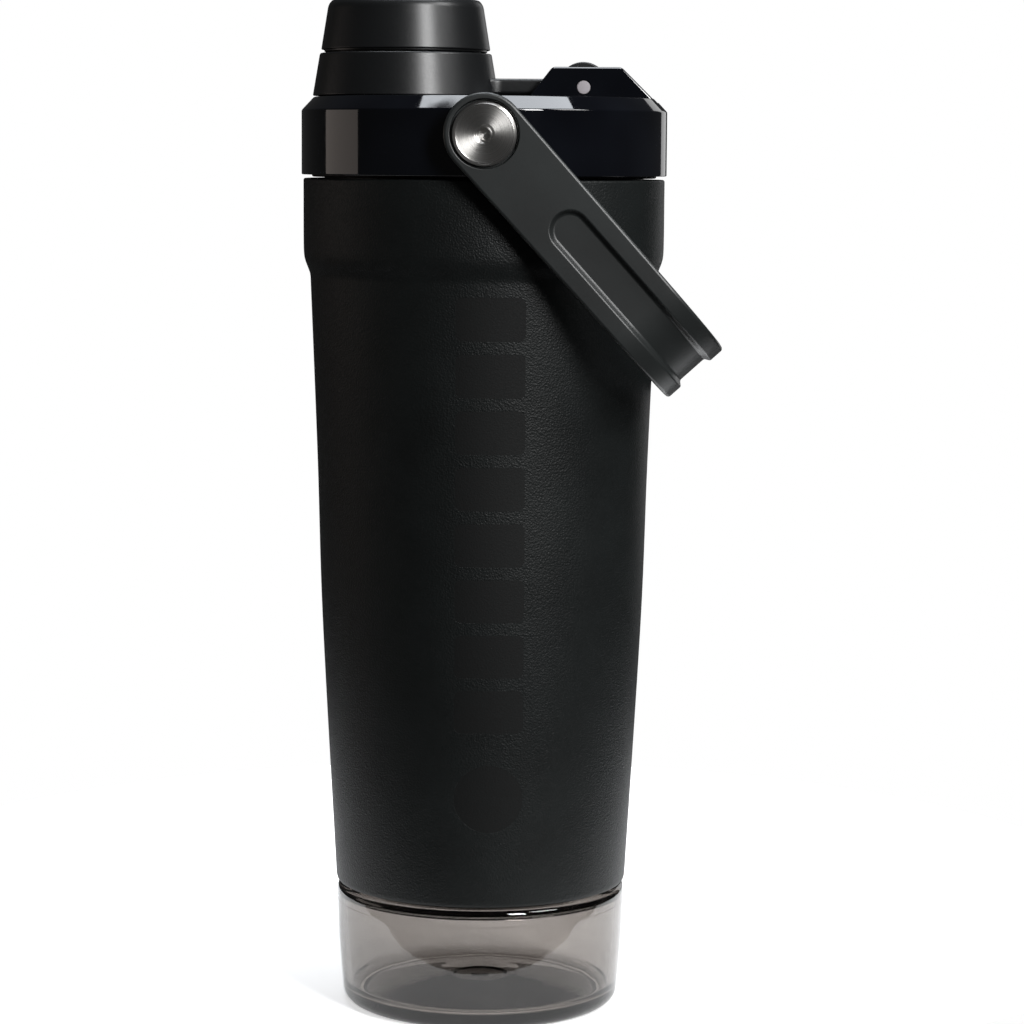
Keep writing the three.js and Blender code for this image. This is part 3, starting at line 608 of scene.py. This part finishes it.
def body_liner():
    top = RIM_R - WALL
    inner = [(r, z) for r, z in inset(SIDE[1:], WALL) if z > LIP_Z + 1]
    outer = [(r, z) for r, z in inset(SIDE[1:], WALL - STEEL) if z > LIP_Z + 1]
    liner = turned(
        "steel_liner",
        [
            (FOOT_R - WALL, LIP_Z, 0.15), (FOOT_R - WALL + STEEL, LIP_Z, 0.15), *outer,
            (top + STEEL, RIM_Z, 0.15), (top, RIM_Z, 0.25), *inner[::-1],
        ],
    )
    join(liner, ridge(top, top - LID_RIDGE, *LID_THREAD, LID_THREAD_Z))
    return liner


place(body_shell(), "body_shell")
place(body_liner(), "body_liner")

# ---------------------------------------------------------------- base

COLLAR_R = FOOT_R - WALL - 0.3
COLLAR_BORE = COLLAR_R - 1.4
COLLAR_Z = COLLAR[0][2]
NECK_R = COLLAR_BORE - 1.4
THREAD_Z = COLLAR_Z + 2.7  # start of the cup's thread
CUP_R, CUP_Z = CUP[1][0], SEAL[0][2] - 0.25  # the cup's side, and its shoulder under the seal
CUP_WALL = 2.2
CUP_FOOT_ROUND = 3.3


def base_collar():
    flange_top = min(COLLAR_Z + 1.3, LIP_Z - 0.3)
    collar = turned(
        "foot_collar",
        [
            (COLLAR_BORE, COLLAR_Z, 0.3), (COLLAR[1][0], COLLAR_Z, 0.3), (COLLAR[1][0], flange_top, 0.3),
            (COLLAR_R, flange_top), (COLLAR_R, COLLAR[1][2], 0.3), (COLLAR_BORE, COLLAR[1][2], 0.3),
        ],
    )
    join(collar, ridge(COLLAR_BORE, COLLAR_BORE - BASE_RIDGE, *BASE_THREAD, THREAD_Z + 2.5))
    return collar


def ring_section(bore, outer, low, high, rounding):
    """Outline of a square ring with its four corners rounded."""
    return [(bore, low, rounding), (outer, low, rounding), (outer, high, rounding), (bore, high, rounding)]


def flat_ring(name, low, high, bore, rounding, x=0, steps=ROUND):
    outer = (high[0] - low[0]) / 2
    return turned(name, ring_section(bore, outer, low[2], high[2], rounding), x=x, steps=steps)


def base_cup():
    """Thick-walled clear cup: rounded foot with a ring to stand on, floor that rises to a disc, and neck."""
    low_r = CUP_R - 1.4
    ring_r = low_r - CUP_FOOT_ROUND
    under_z, floor_z, roof_z, top_z = 0.8, 3.0, CUP_Z - 1.6, CUP[1][2]
    inner_r, neck_in = CUP_R - CUP_WALL, NECK_R - 2
    corner = [
        (ring_r + CUP_FOOT_ROUND * math.sin(a), CUP_FOOT_ROUND - CUP_FOOT_ROUND * math.cos(a))
        for a in (i * math.pi / 20 for i in range(11))
    ]
    knots = [corner[-1], (CUP_R - 0.42, 0.5 * CUP_Z), (CUP_R, 0.82 * CUP_Z), (CUP_R, CUP_Z - 4)]
    side = [spline(knots, i / 10) for i in range(1, 11)]
    inside = [(r - CUP_WALL - 0.001, z) for r, z in side[::-1] if 6 < z < roof_z - 3]
    raised_disc = [
        (15.0, floor_z + 1.6, 3), (6.9, floor_z + 2.95, 0.6), (6.3, floor_z + 2.6, 0.3),
        (2.2, floor_z + 2.6, 0.3), (1.4, floor_z + 2.9, 0.3), (0, floor_z + 2.9),
    ]
    cup = turned(
        "clear_base_cup",
        [
            (0, under_z), (ring_r - 2.5, under_z, 0.5), (ring_r - 1.7, 0, 0.5), *corner, *side,
            (CUP_R, CUP_Z, 1.9), (NECK_R, CUP_Z, 0.4), (NECK_R, top_z, 0.5), (neck_in, top_z, 0.5),
            (neck_in, roof_z, 1.0), (inner_r, roof_z, 2.2), *inside,
            (low_r - CUP_WALL - 0.1, 4.6, 1.2), (ring_r - 1.0, floor_z + 0.1, 1.5), *raised_disc,
        ],
    )
    join(cup, ridge(NECK_R, NECK_R + BASE_RIDGE, *BASE_THREAD, THREAD_Z))
    return cup


place(base_collar(), "base_collar")
place(flat_ring("foot_seal", *SEAL, NECK_R + 1.4, 0.2), "base_seal")
place(base_cup(), "base_cup")

# ---------------------------------------------------------------- lid

BAND_R, BAND_Z = LID[1][0], LID[0][2]
DECK_Z = BAND_Z + 18.7
BAND_TOP_Z = DECK_Z - 3.2  # the chamfer's foot
DECK_R = BAND_R - 3.0
LID_WALL = 2.2
PAD_R, PAD_Y = 9.3, LID[1][1]  # pads that the handle turns on
BOSS_R, BOSS_Y = 6, 38.7  # bosses inside that hold the inserts
INSERT_BORE_R, INSERT_BORE_Y = 3.6, 39.2
ARM_HALF = 7.1  # half the width of the cap's arm
SLOT_Y, CHEEK_Y = 7.5, 11.0  # the hinge cheeks' inner and outer faces
CHEEK_RISE = 7.4
KNUCKLE_R, PIN_R = 6.15, 1.65
TRAY_WALL, TRAY_Y = 2.2, 9.1  # the hollow under the knuckle
NECK_TOP_Z = PLUG[1][2]
SPOUT_R, MOUTH_R = 14.8, 12.8


def hinge_cheek(side):
    """One cheek of the cap's hinge: a sloped block with softened edges."""
    top = DECK_Z + CHEEK_RISE
    near, far = side * SLOT_Y, side * CHEEK_Y
    outline = [
        (HINGE_X - 13.8, near, DECK_Z - 1), (HINGE_X + 17.1, near, DECK_Z - 1),
        (HINGE_X + 16.6, near, DECK_Z), (HINGE_X + 9.1, near, top, 0.8), (HINGE_X - 7.5, near, top, 0.8),
        (HINGE_X - 13.3, near, DECK_Z),
    ]
    cheek = slab("cheek", outline, (0, far - near, 0))
    soften(cheek, 0.7, 3, 40)
    return cheek


def lid_shell():
    bore = BAND_R - LID_WALL
    lid = turned(
        "lid_shell",
        [
            (0, DECK_Z - LID_WALL), (bore - 1, DECK_Z - LID_WALL, 0.5), (bore, BAND_TOP_Z - 0.5, 0.5),
            (bore, BAND_Z, 0.3), (BAND_R, BAND_Z, 0.35), (BAND_R, BAND_TOP_Z, 0.3),
            (DECK_R, DECK_Z, 0.3), (0, DECK_Z),
        ],
        steps=LID_STEPS,
    )
    for side in (-1, 1):
        pad = bar("pad", PAD_R, sorted((side * (bore + 0.2), side * PAD_Y)), 0, PIVOT_Z, SCREW_STEPS)
        soften(pad, 0.3, 2)
        join(lid, pad)
        join(lid, bar("boss", BOSS_R, sorted((side * BOSS_Y, side * (bore + 0.5))), 0, PIVOT_Z))
        bore_ends = sorted((side * INSERT_BORE_Y, side * (PAD_Y + 1)))
        cut(lid, bar("bore", INSERT_BORE_R, bore_ends, 0, PIVOT_Z))
        join(lid, hinge_cheek(side))
    tray = bar("tray", KNUCKLE_R + TRAY_WALL, (-TRAY_Y, TRAY_Y), HINGE_X, HINGE_Z, KNUCKLE_STEPS)
    cut(tray, block("above", (HINGE_X - 20, HINGE_X + 20), (-20, 20), (DECK_Z - 1.1, DECK_Z + 30)))
    join(lid, tray)
    cut(lid, bar("pocket", KNUCKLE_R + 0.6, (-SLOT_Y, SLOT_Y), HINGE_X, HINGE_Z, KNUCKLE_STEPS))
    cut(lid, block("slot", (HINGE_X, BAND_R + 2), (-SLOT_Y, SLOT_Y), (DECK_Z - 1, DECK_Z + 1)))
    cut(lid, bar("pin_bore", PIN_R + 0.12, (-CHEEK_Y - 1, CHEEK_Y + 1), HINGE_X, HINGE_Z, PIN_BORE_STEPS))
    cut(lid, post("spout_hole", SPOUT_R + 1.7, (DECK_Z - 4, DECK_Z + 1), SPOUT_X))
    return lid


def inner_lid():
    """Threaded plug with the spout standing up from its ceiling."""
    plug_r = RIM_R - WALL - 1.6
    bore, low = plug_r - 1.7, PLUG[0][2]
    flange_z, flange_r = RIM_Z + 2.8, BAND_R - LID_WALL - 0.3
    flange_top, well_r = flange_z + 1.7, 38.3
    ceiling = DECK_Z - 7.6
    plug = turned(
        "lid_plug",
        [
            (0, ceiling - 2), (bore, ceiling - 2, 1.5), (bore, low, 0.4), (plug_r, low, 0.5),
            (plug_r, flange_z, 0.3), (flange_r, flange_z, 0.3), (flange_r, flange_top, 0.3),
            (well_r, flange_top, 0.3), (well_r, ceiling, 0.6), (0, ceiling),
        ],
    )
    join(plug, ridge(plug_r, plug_r + LID_RIDGE, *LID_THREAD, LID_THREAD_Z, math.pi))
    spout = turned(
        "spout",
        [(0, ceiling - 0.5), (SPOUT_R, ceiling - 0.5), (SPOUT_R, NECK_TOP_Z, 0.8), (0, NECK_TOP_Z)],
        x=SPOUT_X, steps=SPOUT_STEPS,
    )
    join(plug, spout)
    join(plug, ridge(SPOUT_R, SPOUT_R + SPOUT_RIDGE, *CAP_THREAD, NECK_TOP_Z - 8.2, 0, SPOUT_X))
    mouth = turned(
        "mouth",
        [
            (0, ceiling - 3), (MOUTH_R, ceiling - 3), (MOUTH_R, NECK_TOP_Z - 1.2, 0.8),
            (13.6, NECK_TOP_Z, 0.3), (13.9, NECK_TOP_Z + 1), (0, NECK_TOP_Z + 1),
        ],
        x=SPOUT_X, steps=SPOUT_STEPS,
    )
    cut(plug, mouth)
    return plug


def mixer_grid():
    """Disc of crossing bars in a rim, with the bars' edges rounded as moulded ones are."""
    outer, low, high = GRID[1][0], GRID[0][2], GRID[1][2]
    rim_in, bars_top = outer - 1.6, low + 1.8
    rim = turned(
        "mixing_grid",
        [
            (0, low), (outer, low, 0.3), (outer, high, 0.3), (rim_in, high, 0.4), (rim_in, bars_top),
            (0, bars_top),
        ],
    )
    pitch, half = 8.2, 3.3  # distance between the holes, and half a hole's side
    count = int(outer / pitch)
    deselect()
    holes = []
    for row in range(-count, count + 1):
        for column in range(-count, count + 1):
            x, y = column * pitch, row * pitch
            if math.hypot(abs(x) + half, abs(y) + half) < outer - 1.9:
                holes.append(block("hole", (x - half, x + half), (y - half, y + half), (low - 1, low + 3)))
    deselect()
    for hole in holes:
        hole.select_set(True)
    bpy.context.view_layer.objects.active = holes[0]
    bpy.ops.object.join()
    cut(rim, bpy.context.object)
    soften(rim, 0.3, 2, 60)
    return rim


def hinge_pin():
    y0, y1 = PIN[0][1], PIN[1][1]
    return turned(
        "hinge_pin", [(0, y0), (PIN_R, y0, 0.25), (PIN_R, y1, 0.25), (0, y1)], HINGE_X, HINGE_Z, SMALL_STEPS
    )


place(flat_ring("lid_gasket_ring", *GASKET, RIM_R - WALL - 1.1, 0.5), "lid_gasket")
place(lid_shell(), "lid_shell", angle=28)
place(inner_lid(), "inner_lid")
place(mixer_grid(), "mixer_grid")
place(hinge_pin(), "hinge_pin", "pin_end")

# ---------------------------------------------------------------- handle and its pivots

ARM_OUTER = 1.65 - BUSH[0][1]  # the strap's outer face, from the bottle's axis
STRAP = 4.2  # thickness
EYE_R, GRIP_HALF = 9.5, 8.8  # half the strap's width at its eyes and at its grip
CORNER_R, BOW = 20, 3  # the bow is how far the grip swells out between its corners
HANDLE_REACH = (HANDLE[1][0] - GRIP_HALF * math.sin(REST_ANGLE)) / math.cos(REST_ANGLE)
CHANNEL_START, CHANNEL_HALF, CHANNEL_DEPTH = 29.5, 5.0, 1.3
CHANNEL_SLOPE = 1.15  # how far each of its walls slopes in
CHANNEL_MOUTH = 1.08  # how much wider the cutter is above the strap
HEAD_SEAT_R, HEAD_SEAT_DEPTH, EYE_BORE_R = 8.0, 1.6, 5.5
FINE_STATION, STATION = 1.0, 2.5  # distance between cuts in the corners and in the rest


def strap_path():
    """Lengths and centres of the strap's outer face: straight, corner, long bow, corner, straight."""
    corner_u = HANDLE_REACH - CORNER_R - BOW
    corner_y = ARM_OUTER - CORNER_R
    ahead = HANDLE_REACH - corner_u
    bow_r = (corner_y**2 + ahead**2 - CORNER_R**2) / (2 * (ahead - CORNER_R))
    bow_u = HANDLE_REACH - bow_r
    meet = math.atan2(corner_y, corner_u - bow_u)
    return corner_u, corner_y, bow_r, bow_u, meet


CORNER_U, CORNER_Y, BOW_R, BOW_U, MEET = strap_path()
CORNER_LENGTH = CORNER_R * (math.pi / 2 - MEET)
HALF_LENGTH = CORNER_U + CORNER_LENGTH + BOW_R * MEET


def on_strap(s, depth):
    """The place at s along the outer face from the front eye, and depth below it, as (u, y)."""
    side = -1 if s < HALF_LENGTH else 1
    s = min(s, 2 * HALF_LENGTH - s)
    if s < CORNER_U:
        u, y = s, ARM_OUTER - depth
    elif s < CORNER_U + CORNER_LENGTH:
        angle = math.pi / 2 - (s - CORNER_U) / CORNER_R
        u = CORNER_U + (CORNER_R - depth) * math.cos(angle)
        y = CORNER_Y + (CORNER_R - depth) * math.sin(angle)
    else:
        angle = (HALF_LENGTH - s) / BOW_R
        u = BOW_U + (BOW_R - depth) * math.cos(angle)
        y = (BOW_R - depth) * math.sin(angle)
    return u, side * y


def half_width(s):
    """Half the strap's width, which narrows a little from the eyes to the grip."""
    s = min(max(s, 0), max(2 * HALF_LENGTH - s, 0))
    return EYE_R + (GRIP_HALF - EYE_R) * min(1, s / (HANDLE_REACH + 5))


def round_end(s, radius, start, end, steps=24):
    """Points of a half circle on a flat strap, from one angle to the other."""
    return [
        (s + radius * math.cos(angle), radius * math.sin(angle))
        for angle in (start + (end - start) * i / steps for i in range(steps + 1))
    ]


def handle():
    """The strap is made flat and straight, X along it, Y the depth below its outer face and Z across it, then
    bent along its path."""
    total = 2 * HALF_LENGTH
    lower = [(s, -half_width(s)) for s in (HANDLE_REACH, total - HANDLE_REACH)]
    upper = [(s, half_width(s)) for s in (total - HANDLE_REACH, HANDLE_REACH)]
    quarter = math.pi / 2
    outline = [
        *round_end(0, EYE_R, quarter, 3 * quarter), *lower,
        *round_end(total, EYE_R, -quarter, quarter), *upper,
    ]
    strap = slab("stirrup_handle", [(s, 0, v) for s, v in outline], (0, STRAP, 0))
    soften(strap, 0.75, 4, 50)
    pocket = [
        *round_end(CHANNEL_START, CHANNEL_HALF, quarter, 3 * quarter),
        *round_end(total - CHANNEL_START, CHANNEL_HALF, -quarter, quarter),
    ]
    cutter = slab("channel", [(s, -1, v) for s, v in pocket], (0, 1 + CHANNEL_DEPTH, 0))
    # The channel's walls slope in to its floor.
    for vertex in cutter.data.vertices:
        scale = (CHANNEL_HALF - CHANNEL_SLOPE) / CHANNEL_HALF if vertex.co.y > 0 else CHANNEL_MOUTH
        centre = min(max(vertex.co.x, CHANNEL_START * MM), (total - CHANNEL_START) * MM)
        vertex.co.x = centre + (vertex.co.x - centre) * scale
        vertex.co.z *= scale
    soften(cutter, 0.4, 3, 30)
    cut(strap, cutter)
    for s in (0, total):
        for radius, depth in ((HEAD_SEAT_R, HEAD_SEAT_DEPTH), (EYE_BORE_R, STRAP + 1.8)):
            cut(strap, bar("bore", radius, (-1, depth), s, 0, SCREW_STEPS))
    # Stations across the strap let it bend.
    bpy.context.view_layer.objects.active = strap
    bpy.ops.object.mode_set(mode="EDIT")
    station = CORNER_U - 2
    while station < total - CORNER_U + 2:
        bpy.ops.mesh.select_all(action="SELECT")
        bpy.ops.mesh.bisect(plane_co=(station * MM, 0, 0), plane_no=(1, 0, 0))
        to_corner = min(
            abs(station - CORNER_U - CORNER_LENGTH / 2), abs(total - station - CORNER_U - CORNER_LENGTH / 2)
        )
        station += FINE_STATION if to_corner < CORNER_LENGTH / 2 + 2 else STATION
    bpy.ops.object.mode_set(mode="OBJECT")
    soften(strap, 0.28, 2, 38)
    for vertex in strap.data.vertices:
        u, y = on_strap(vertex.co.x / MM, vertex.co.y / MM)
        vertex.co.x, vertex.co.y = u * MM, y * MM
    strap.data.transform(Matrix.Rotation(REST_ANGLE, 4, "Y"))
    strap.data.transform(Matrix.Translation((0, 0, PIVOT_Z * MM)))
    edit_all(weld, face_out)
    return strap


HEAD_R, HEAD_THICK = 7.4, 1.5
SHANK_R, STEM_R = 3.9, 2.1
SOCKET_R = 1.6  # to the hexagon's corners


def shoulder_screw(side):
    """Wide flat head with a raised bright rim, a countersunk hexagon socket, a shoulder and a stem."""
    top, low = -SCREW[0][1], -SCREW[1][1]
    under, stem = top - HEAD_THICK, PAD_Y + 0.05
    outline = [
        (0, low), (STEM_R, low, 0.3), (STEM_R, stem), (SHANK_R, stem, 0.2), (SHANK_R, under),
        (HEAD_R, under, 0.2), (HEAD_R, top - 0.45, 0.1), (HEAD_R - 0.65, top, 0.1),
        (HEAD_R - 0.9, top - 0.06, 0.1), (2.35, top - 0.2, 0.1), (1.85, top - 0.55, 0.1), (0, top - 0.55),
    ]
    profile = [(radius, side * y, *rounding) for radius, y, *rounding in outline]
    screw = turned("shoulder_screw_" + ("front" if side < 0 else "back"), profile, 0, PIVOT_Z, SCREW_STEPS)
    depth = sorted((side * (top - 2.2), side * (top + 1)))
    cut(screw, bar("socket", SOCKET_R, depth, 0, PIVOT_Z, 6))
    return screw


def pivot_ring(name, node, bore, rounding):
    low, high = span(node)
    outer = (high[0] - low[0]) / 2
    return turned(name, ring_section(bore, outer, low[1], high[1], rounding), 0, PIVOT_Z, SMALL_STEPS)


place(handle(), "handle", "handle_black", 30)
for end, side in (("front", -1), ("back", 1)):
    place(shoulder_screw(side), "handle_screw_" + end)
    place(pivot_ring("washer_" + end, "handle_washer_" + end, 4.2, 0.15), "handle_washer_" + end)
    place(pivot_ring("bush_" + end, "handle_bush_" + end, 4.15, 0.25), "handle_bush_" + end)
    place(pivot_ring("insert_" + end, "handle_insert_" + end, 2.4, 0.2), "handle_insert_" + end)

# ---------------------------------------------------------------- cap

RING_Z, RING_TOP_Z = DECK_Z + 0.3, ARM[1][2]
RING_FOOT_R, RING_TOP_R = 22.6, 20.85
RING_IN_R = 21.6  # inside the ring's wall, where the arm's root starts
SLEEVE_R = 18.3
SLEEVE_GAP = 0.3  # all round the sleeve
KNOB_SKIRT_Z, CAP_TOP_Z = KNOB[0][2], KNOB[1][2]
KNOB_Z = KNOB_SKIRT_Z + 0.5
KNOB_FOOT_R, KNOB_TOP_R = 20.55, 18.95
KNOB_SKIRT_IN = 0.75  # the skirt that closes the gap to the ring stands in by this
ARM_LOW, ARM_THICK = DECK_Z + 0.8, 3.8
ARM_ROOT_Y, ARM_FLARE = 12.5, 5.4  # half the width at the ring, and the radius of the flare to it


def cap_arm():
    """Ring round the spout, arm with filleted root and chamfered edges, and hinge knuckle."""
    ledge_z = RING_TOP_Z - 1.6
    bore_top, bore_foot, sleeve_bore = 20.12, RING_FOOT_R - 1.9, SLEEVE_R + SLEEVE_GAP
    ring = turned(
        "cap_arm",
        [
            (bore_foot, RING_Z, 0.3), (RING_FOOT_R, RING_Z, 0.35), (RING_TOP_R, RING_TOP_Z, 0.5),
            (sleeve_bore, RING_TOP_Z, 0.3), (sleeve_bore, ledge_z, 0.2), (bore_top, ledge_z),
        ],
        x=SPOUT_X, steps=SPOUT_STEPS,
    )
    low = ARM_LOW
    root = SPOUT_X + math.sqrt(RING_IN_R**2 - ARM_ROOT_Y**2)
    sweep = [
        (root + ARM_FLARE * (1 - math.cos(a)) + 0.6, ARM_HALF + ARM_FLARE * (1 - math.sin(a)))
        for a in (i * math.pi / 16 for i in range(9))
    ]
    upper = [(x, y) for x, y in sweep if x < HINGE_X]
    outline = [(x, -y, low) for x, y in upper] + [(HINGE_X, -ARM_HALF, low), (HINGE_X, ARM_HALF, low)]
    outline += [(x, y, low) for x, y in upper[::-1]]
    outline += [(SPOUT_X + 16, ARM_ROOT_Y, low), (SPOUT_X + 16, -ARM_ROOT_Y, low)]
    arm = slab("arm", outline, (0, 0, ARM_THICK))
    soften(arm, 0.85, 3, 60)
    hollow = turned(
        "hollow",
        [(0, RING_Z - 1), (bore_foot + 0.05, RING_Z - 1), (bore_top + 0.05, ledge_z), (0, ledge_z)],
        x=SPOUT_X, steps=SPOUT_STEPS,
    )
    cut(arm, hollow)
    join(ring, arm)
    knuckle = bar("knuckle", KNUCKLE_R, (-ARM_HALF, ARM_HALF), HINGE_X, HINGE_Z, SCREW_STEPS)
    soften(knuckle, 0.4, 3, 60)
    join(ring, knuckle)
    cut(ring, bar("pin_bore", PIN_R + 0.25, (-9, 9), HINGE_X, HINGE_Z, PIN_BORE_STEPS))
    return ring


def cap_knob():
    roof = CAP_TOP_Z - 1.5
    seat = CAP_SEAL[1][2] + 0.3
    step = SLEEVE[1][2] + 0.3
    bore, skirt_r = SLEEVE_R + SLEEVE_GAP, KNOB_FOOT_R - KNOB_SKIRT_IN
    inner = KNOB_TOP_R - 2
    boss = inner - 3
    return turned(
        "cap_knob",
        [
            (bore, KNOB_SKIRT_Z), (skirt_r, KNOB_SKIRT_Z, 0.2), (skirt_r, KNOB_Z),
            (KNOB_FOOT_R, KNOB_Z, 0.35), (KNOB_TOP_R - 0.15, CAP_TOP_Z - 1.2, 0.9),
            (KNOB_TOP_R - 1.15, CAP_TOP_Z, 0.5), (0, CAP_TOP_Z),
            (0, roof), (boss - 2, roof, 0.5), (boss - 2, seat, 0.3), (boss, seat, 0.3), (boss, roof, 0.5),
            (inner, roof, 1.0), (inner, step), (bore, step),
        ],
        x=SPOUT_X, steps=SPOUT_STEPS,
    )


def cap_sleeve():
    low, high = SLEEVE[0][2], SLEEVE[1][2]
    bore = SLEEVE_R - 0.8
    outline = [(bore, low, 0.25), (SLEEVE_R, low, 0.25), (SLEEVE_R, high, 0.2), (bore, high, 0.2)]
    sleeve = turned("cap_sleeve", outline, x=SPOUT_X, steps=SPOUT_STEPS)
    join(sleeve, ridge(bore, bore - SLEEVE_RIDGE, *CAP_THREAD, NECK_TOP_Z - 6.2, 0, SPOUT_X))
    return sleeve


def cap_seal():
    low, high = CAP_SEAL
    outer = (high[0] - low[0]) / 2
    return turned(
        "spout_seal",
        [
            (0, low[2] + 0.3), (11, low[2] + 0.3, 0.4), (12, low[2], 0.3), (outer, low[2], 0.4),
            (outer, high[2], 0.4), (0, high[2]),
        ],
        x=SPOUT_X, steps=SPOUT_STEPS,
    )


place(cap_arm(), "cap_arm")
place(cap_knob(), "cap_knob")
place(cap_sleeve(), "cap_sleeve")
place(cap_seal(), "cap_seal")
place(flat_ring("retainer_ring", *RETAINER, SLEEVE_R + SLEEVE_GAP, 0.3, SPOUT_X, SPOUT_STEPS), "cap_retainer")

# ---------------------------------------------------------------- studio

# The studio's places and sizes are metres.
FLOOR_R = 0.19
FLOOR_Y = 0.12  # most of the floor lies behind the bottle
FLOOR_GLOW = 0.62  # with the lamps on it the floor comes out white
AIR_GLOW = 0.035  # what the bottle mirrors where there is no lamp


def soft_box(name, spot, aim, size, power, colour="#ffffff"):
    """A soft rectangular lamp at a spot, turned to its aim."""
    lamp = bpy.data.lights.new(name, "AREA")
    lamp.shape = "RECTANGLE"
    lamp.size, lamp.size_y = size
    lamp.energy = power
    lamp.color = linear(colour)[:3]
    holder = bpy.data.objects.new(name, lamp)
    holder.location = spot
    holder.rotation_euler = (Vector(aim) - Vector(spot)).to_track_quat("-Z", "Y").to_euler()
    bpy.context.scene.collection.objects.link(holder)


# Light on the deck, the chamfer and the cup's shoulder, a bright strip down the cap's right half, a warm
# patch in the gloss band on the left, an edge of light on the right, and light on the handle.
soft_box("overhead", (0.07, 0.10, 1.25), (0.05, 0.05, 0.22), (0.85, 0.50), 12, "#f4f9ff")
soft_box("key_strip", (0.52, -0.88, 0.62), (0, 0, 0.22), (0.22, 0.55), 12)
soft_box("left_panel", (-1.05, 0.18, 0.20), (0, 0, 0.14), (0.6, 0.35), 0.5, "#fff1e8")
soft_box("right_rim", (0.50, 1.00, 0.30), (0, 0, 0.14), (0.3, 0.7), 0.6)
soft_box("upper_right", (0.75, -0.40, 0.85), (0.03, 0, 0.19), (0.35, 0.35), 5)


def studio_floor():
    """A plain pale disc that gives some light of its own, so that it stays even and white."""
    deselect()
    middle = (0, FLOOR_Y, 0)
    bpy.ops.mesh.primitive_circle_add(vertices=ROUND, radius=FLOOR_R, fill_type="NGON", location=middle)
    floor = settle("studio_floor")
    material = start_material(
        "floor_paper", Roughness=0.9, Base_Color=linear("#f4f4f4"),
        Emission_Color=linear("#ffffff"), Emission_Strength=FLOOR_GLOW,
    )[0]
    floor.data.materials.append(material)


def studio_air():
    """White behind everything, and dim for reflections."""
    world = bpy.data.worlds.new("studio")
    bpy.context.scene.world = world
    world.use_nodes = True
    tree = world.node_tree
    tree.nodes.clear()
    dim = add(tree, "Background", {"Color": linear("#ffffff"), "Strength": AIR_GLOW})
    white = add(tree, "Background", {"Color": linear("#ffffff"), "Strength": 1.0})
    seen = add(tree, "LightPath", out="Is Camera Ray")
    both = add(tree, "MixShader", (seen, dim, white))
    add(tree, "OutputWorld", (both,))


studio_floor()
studio_air()
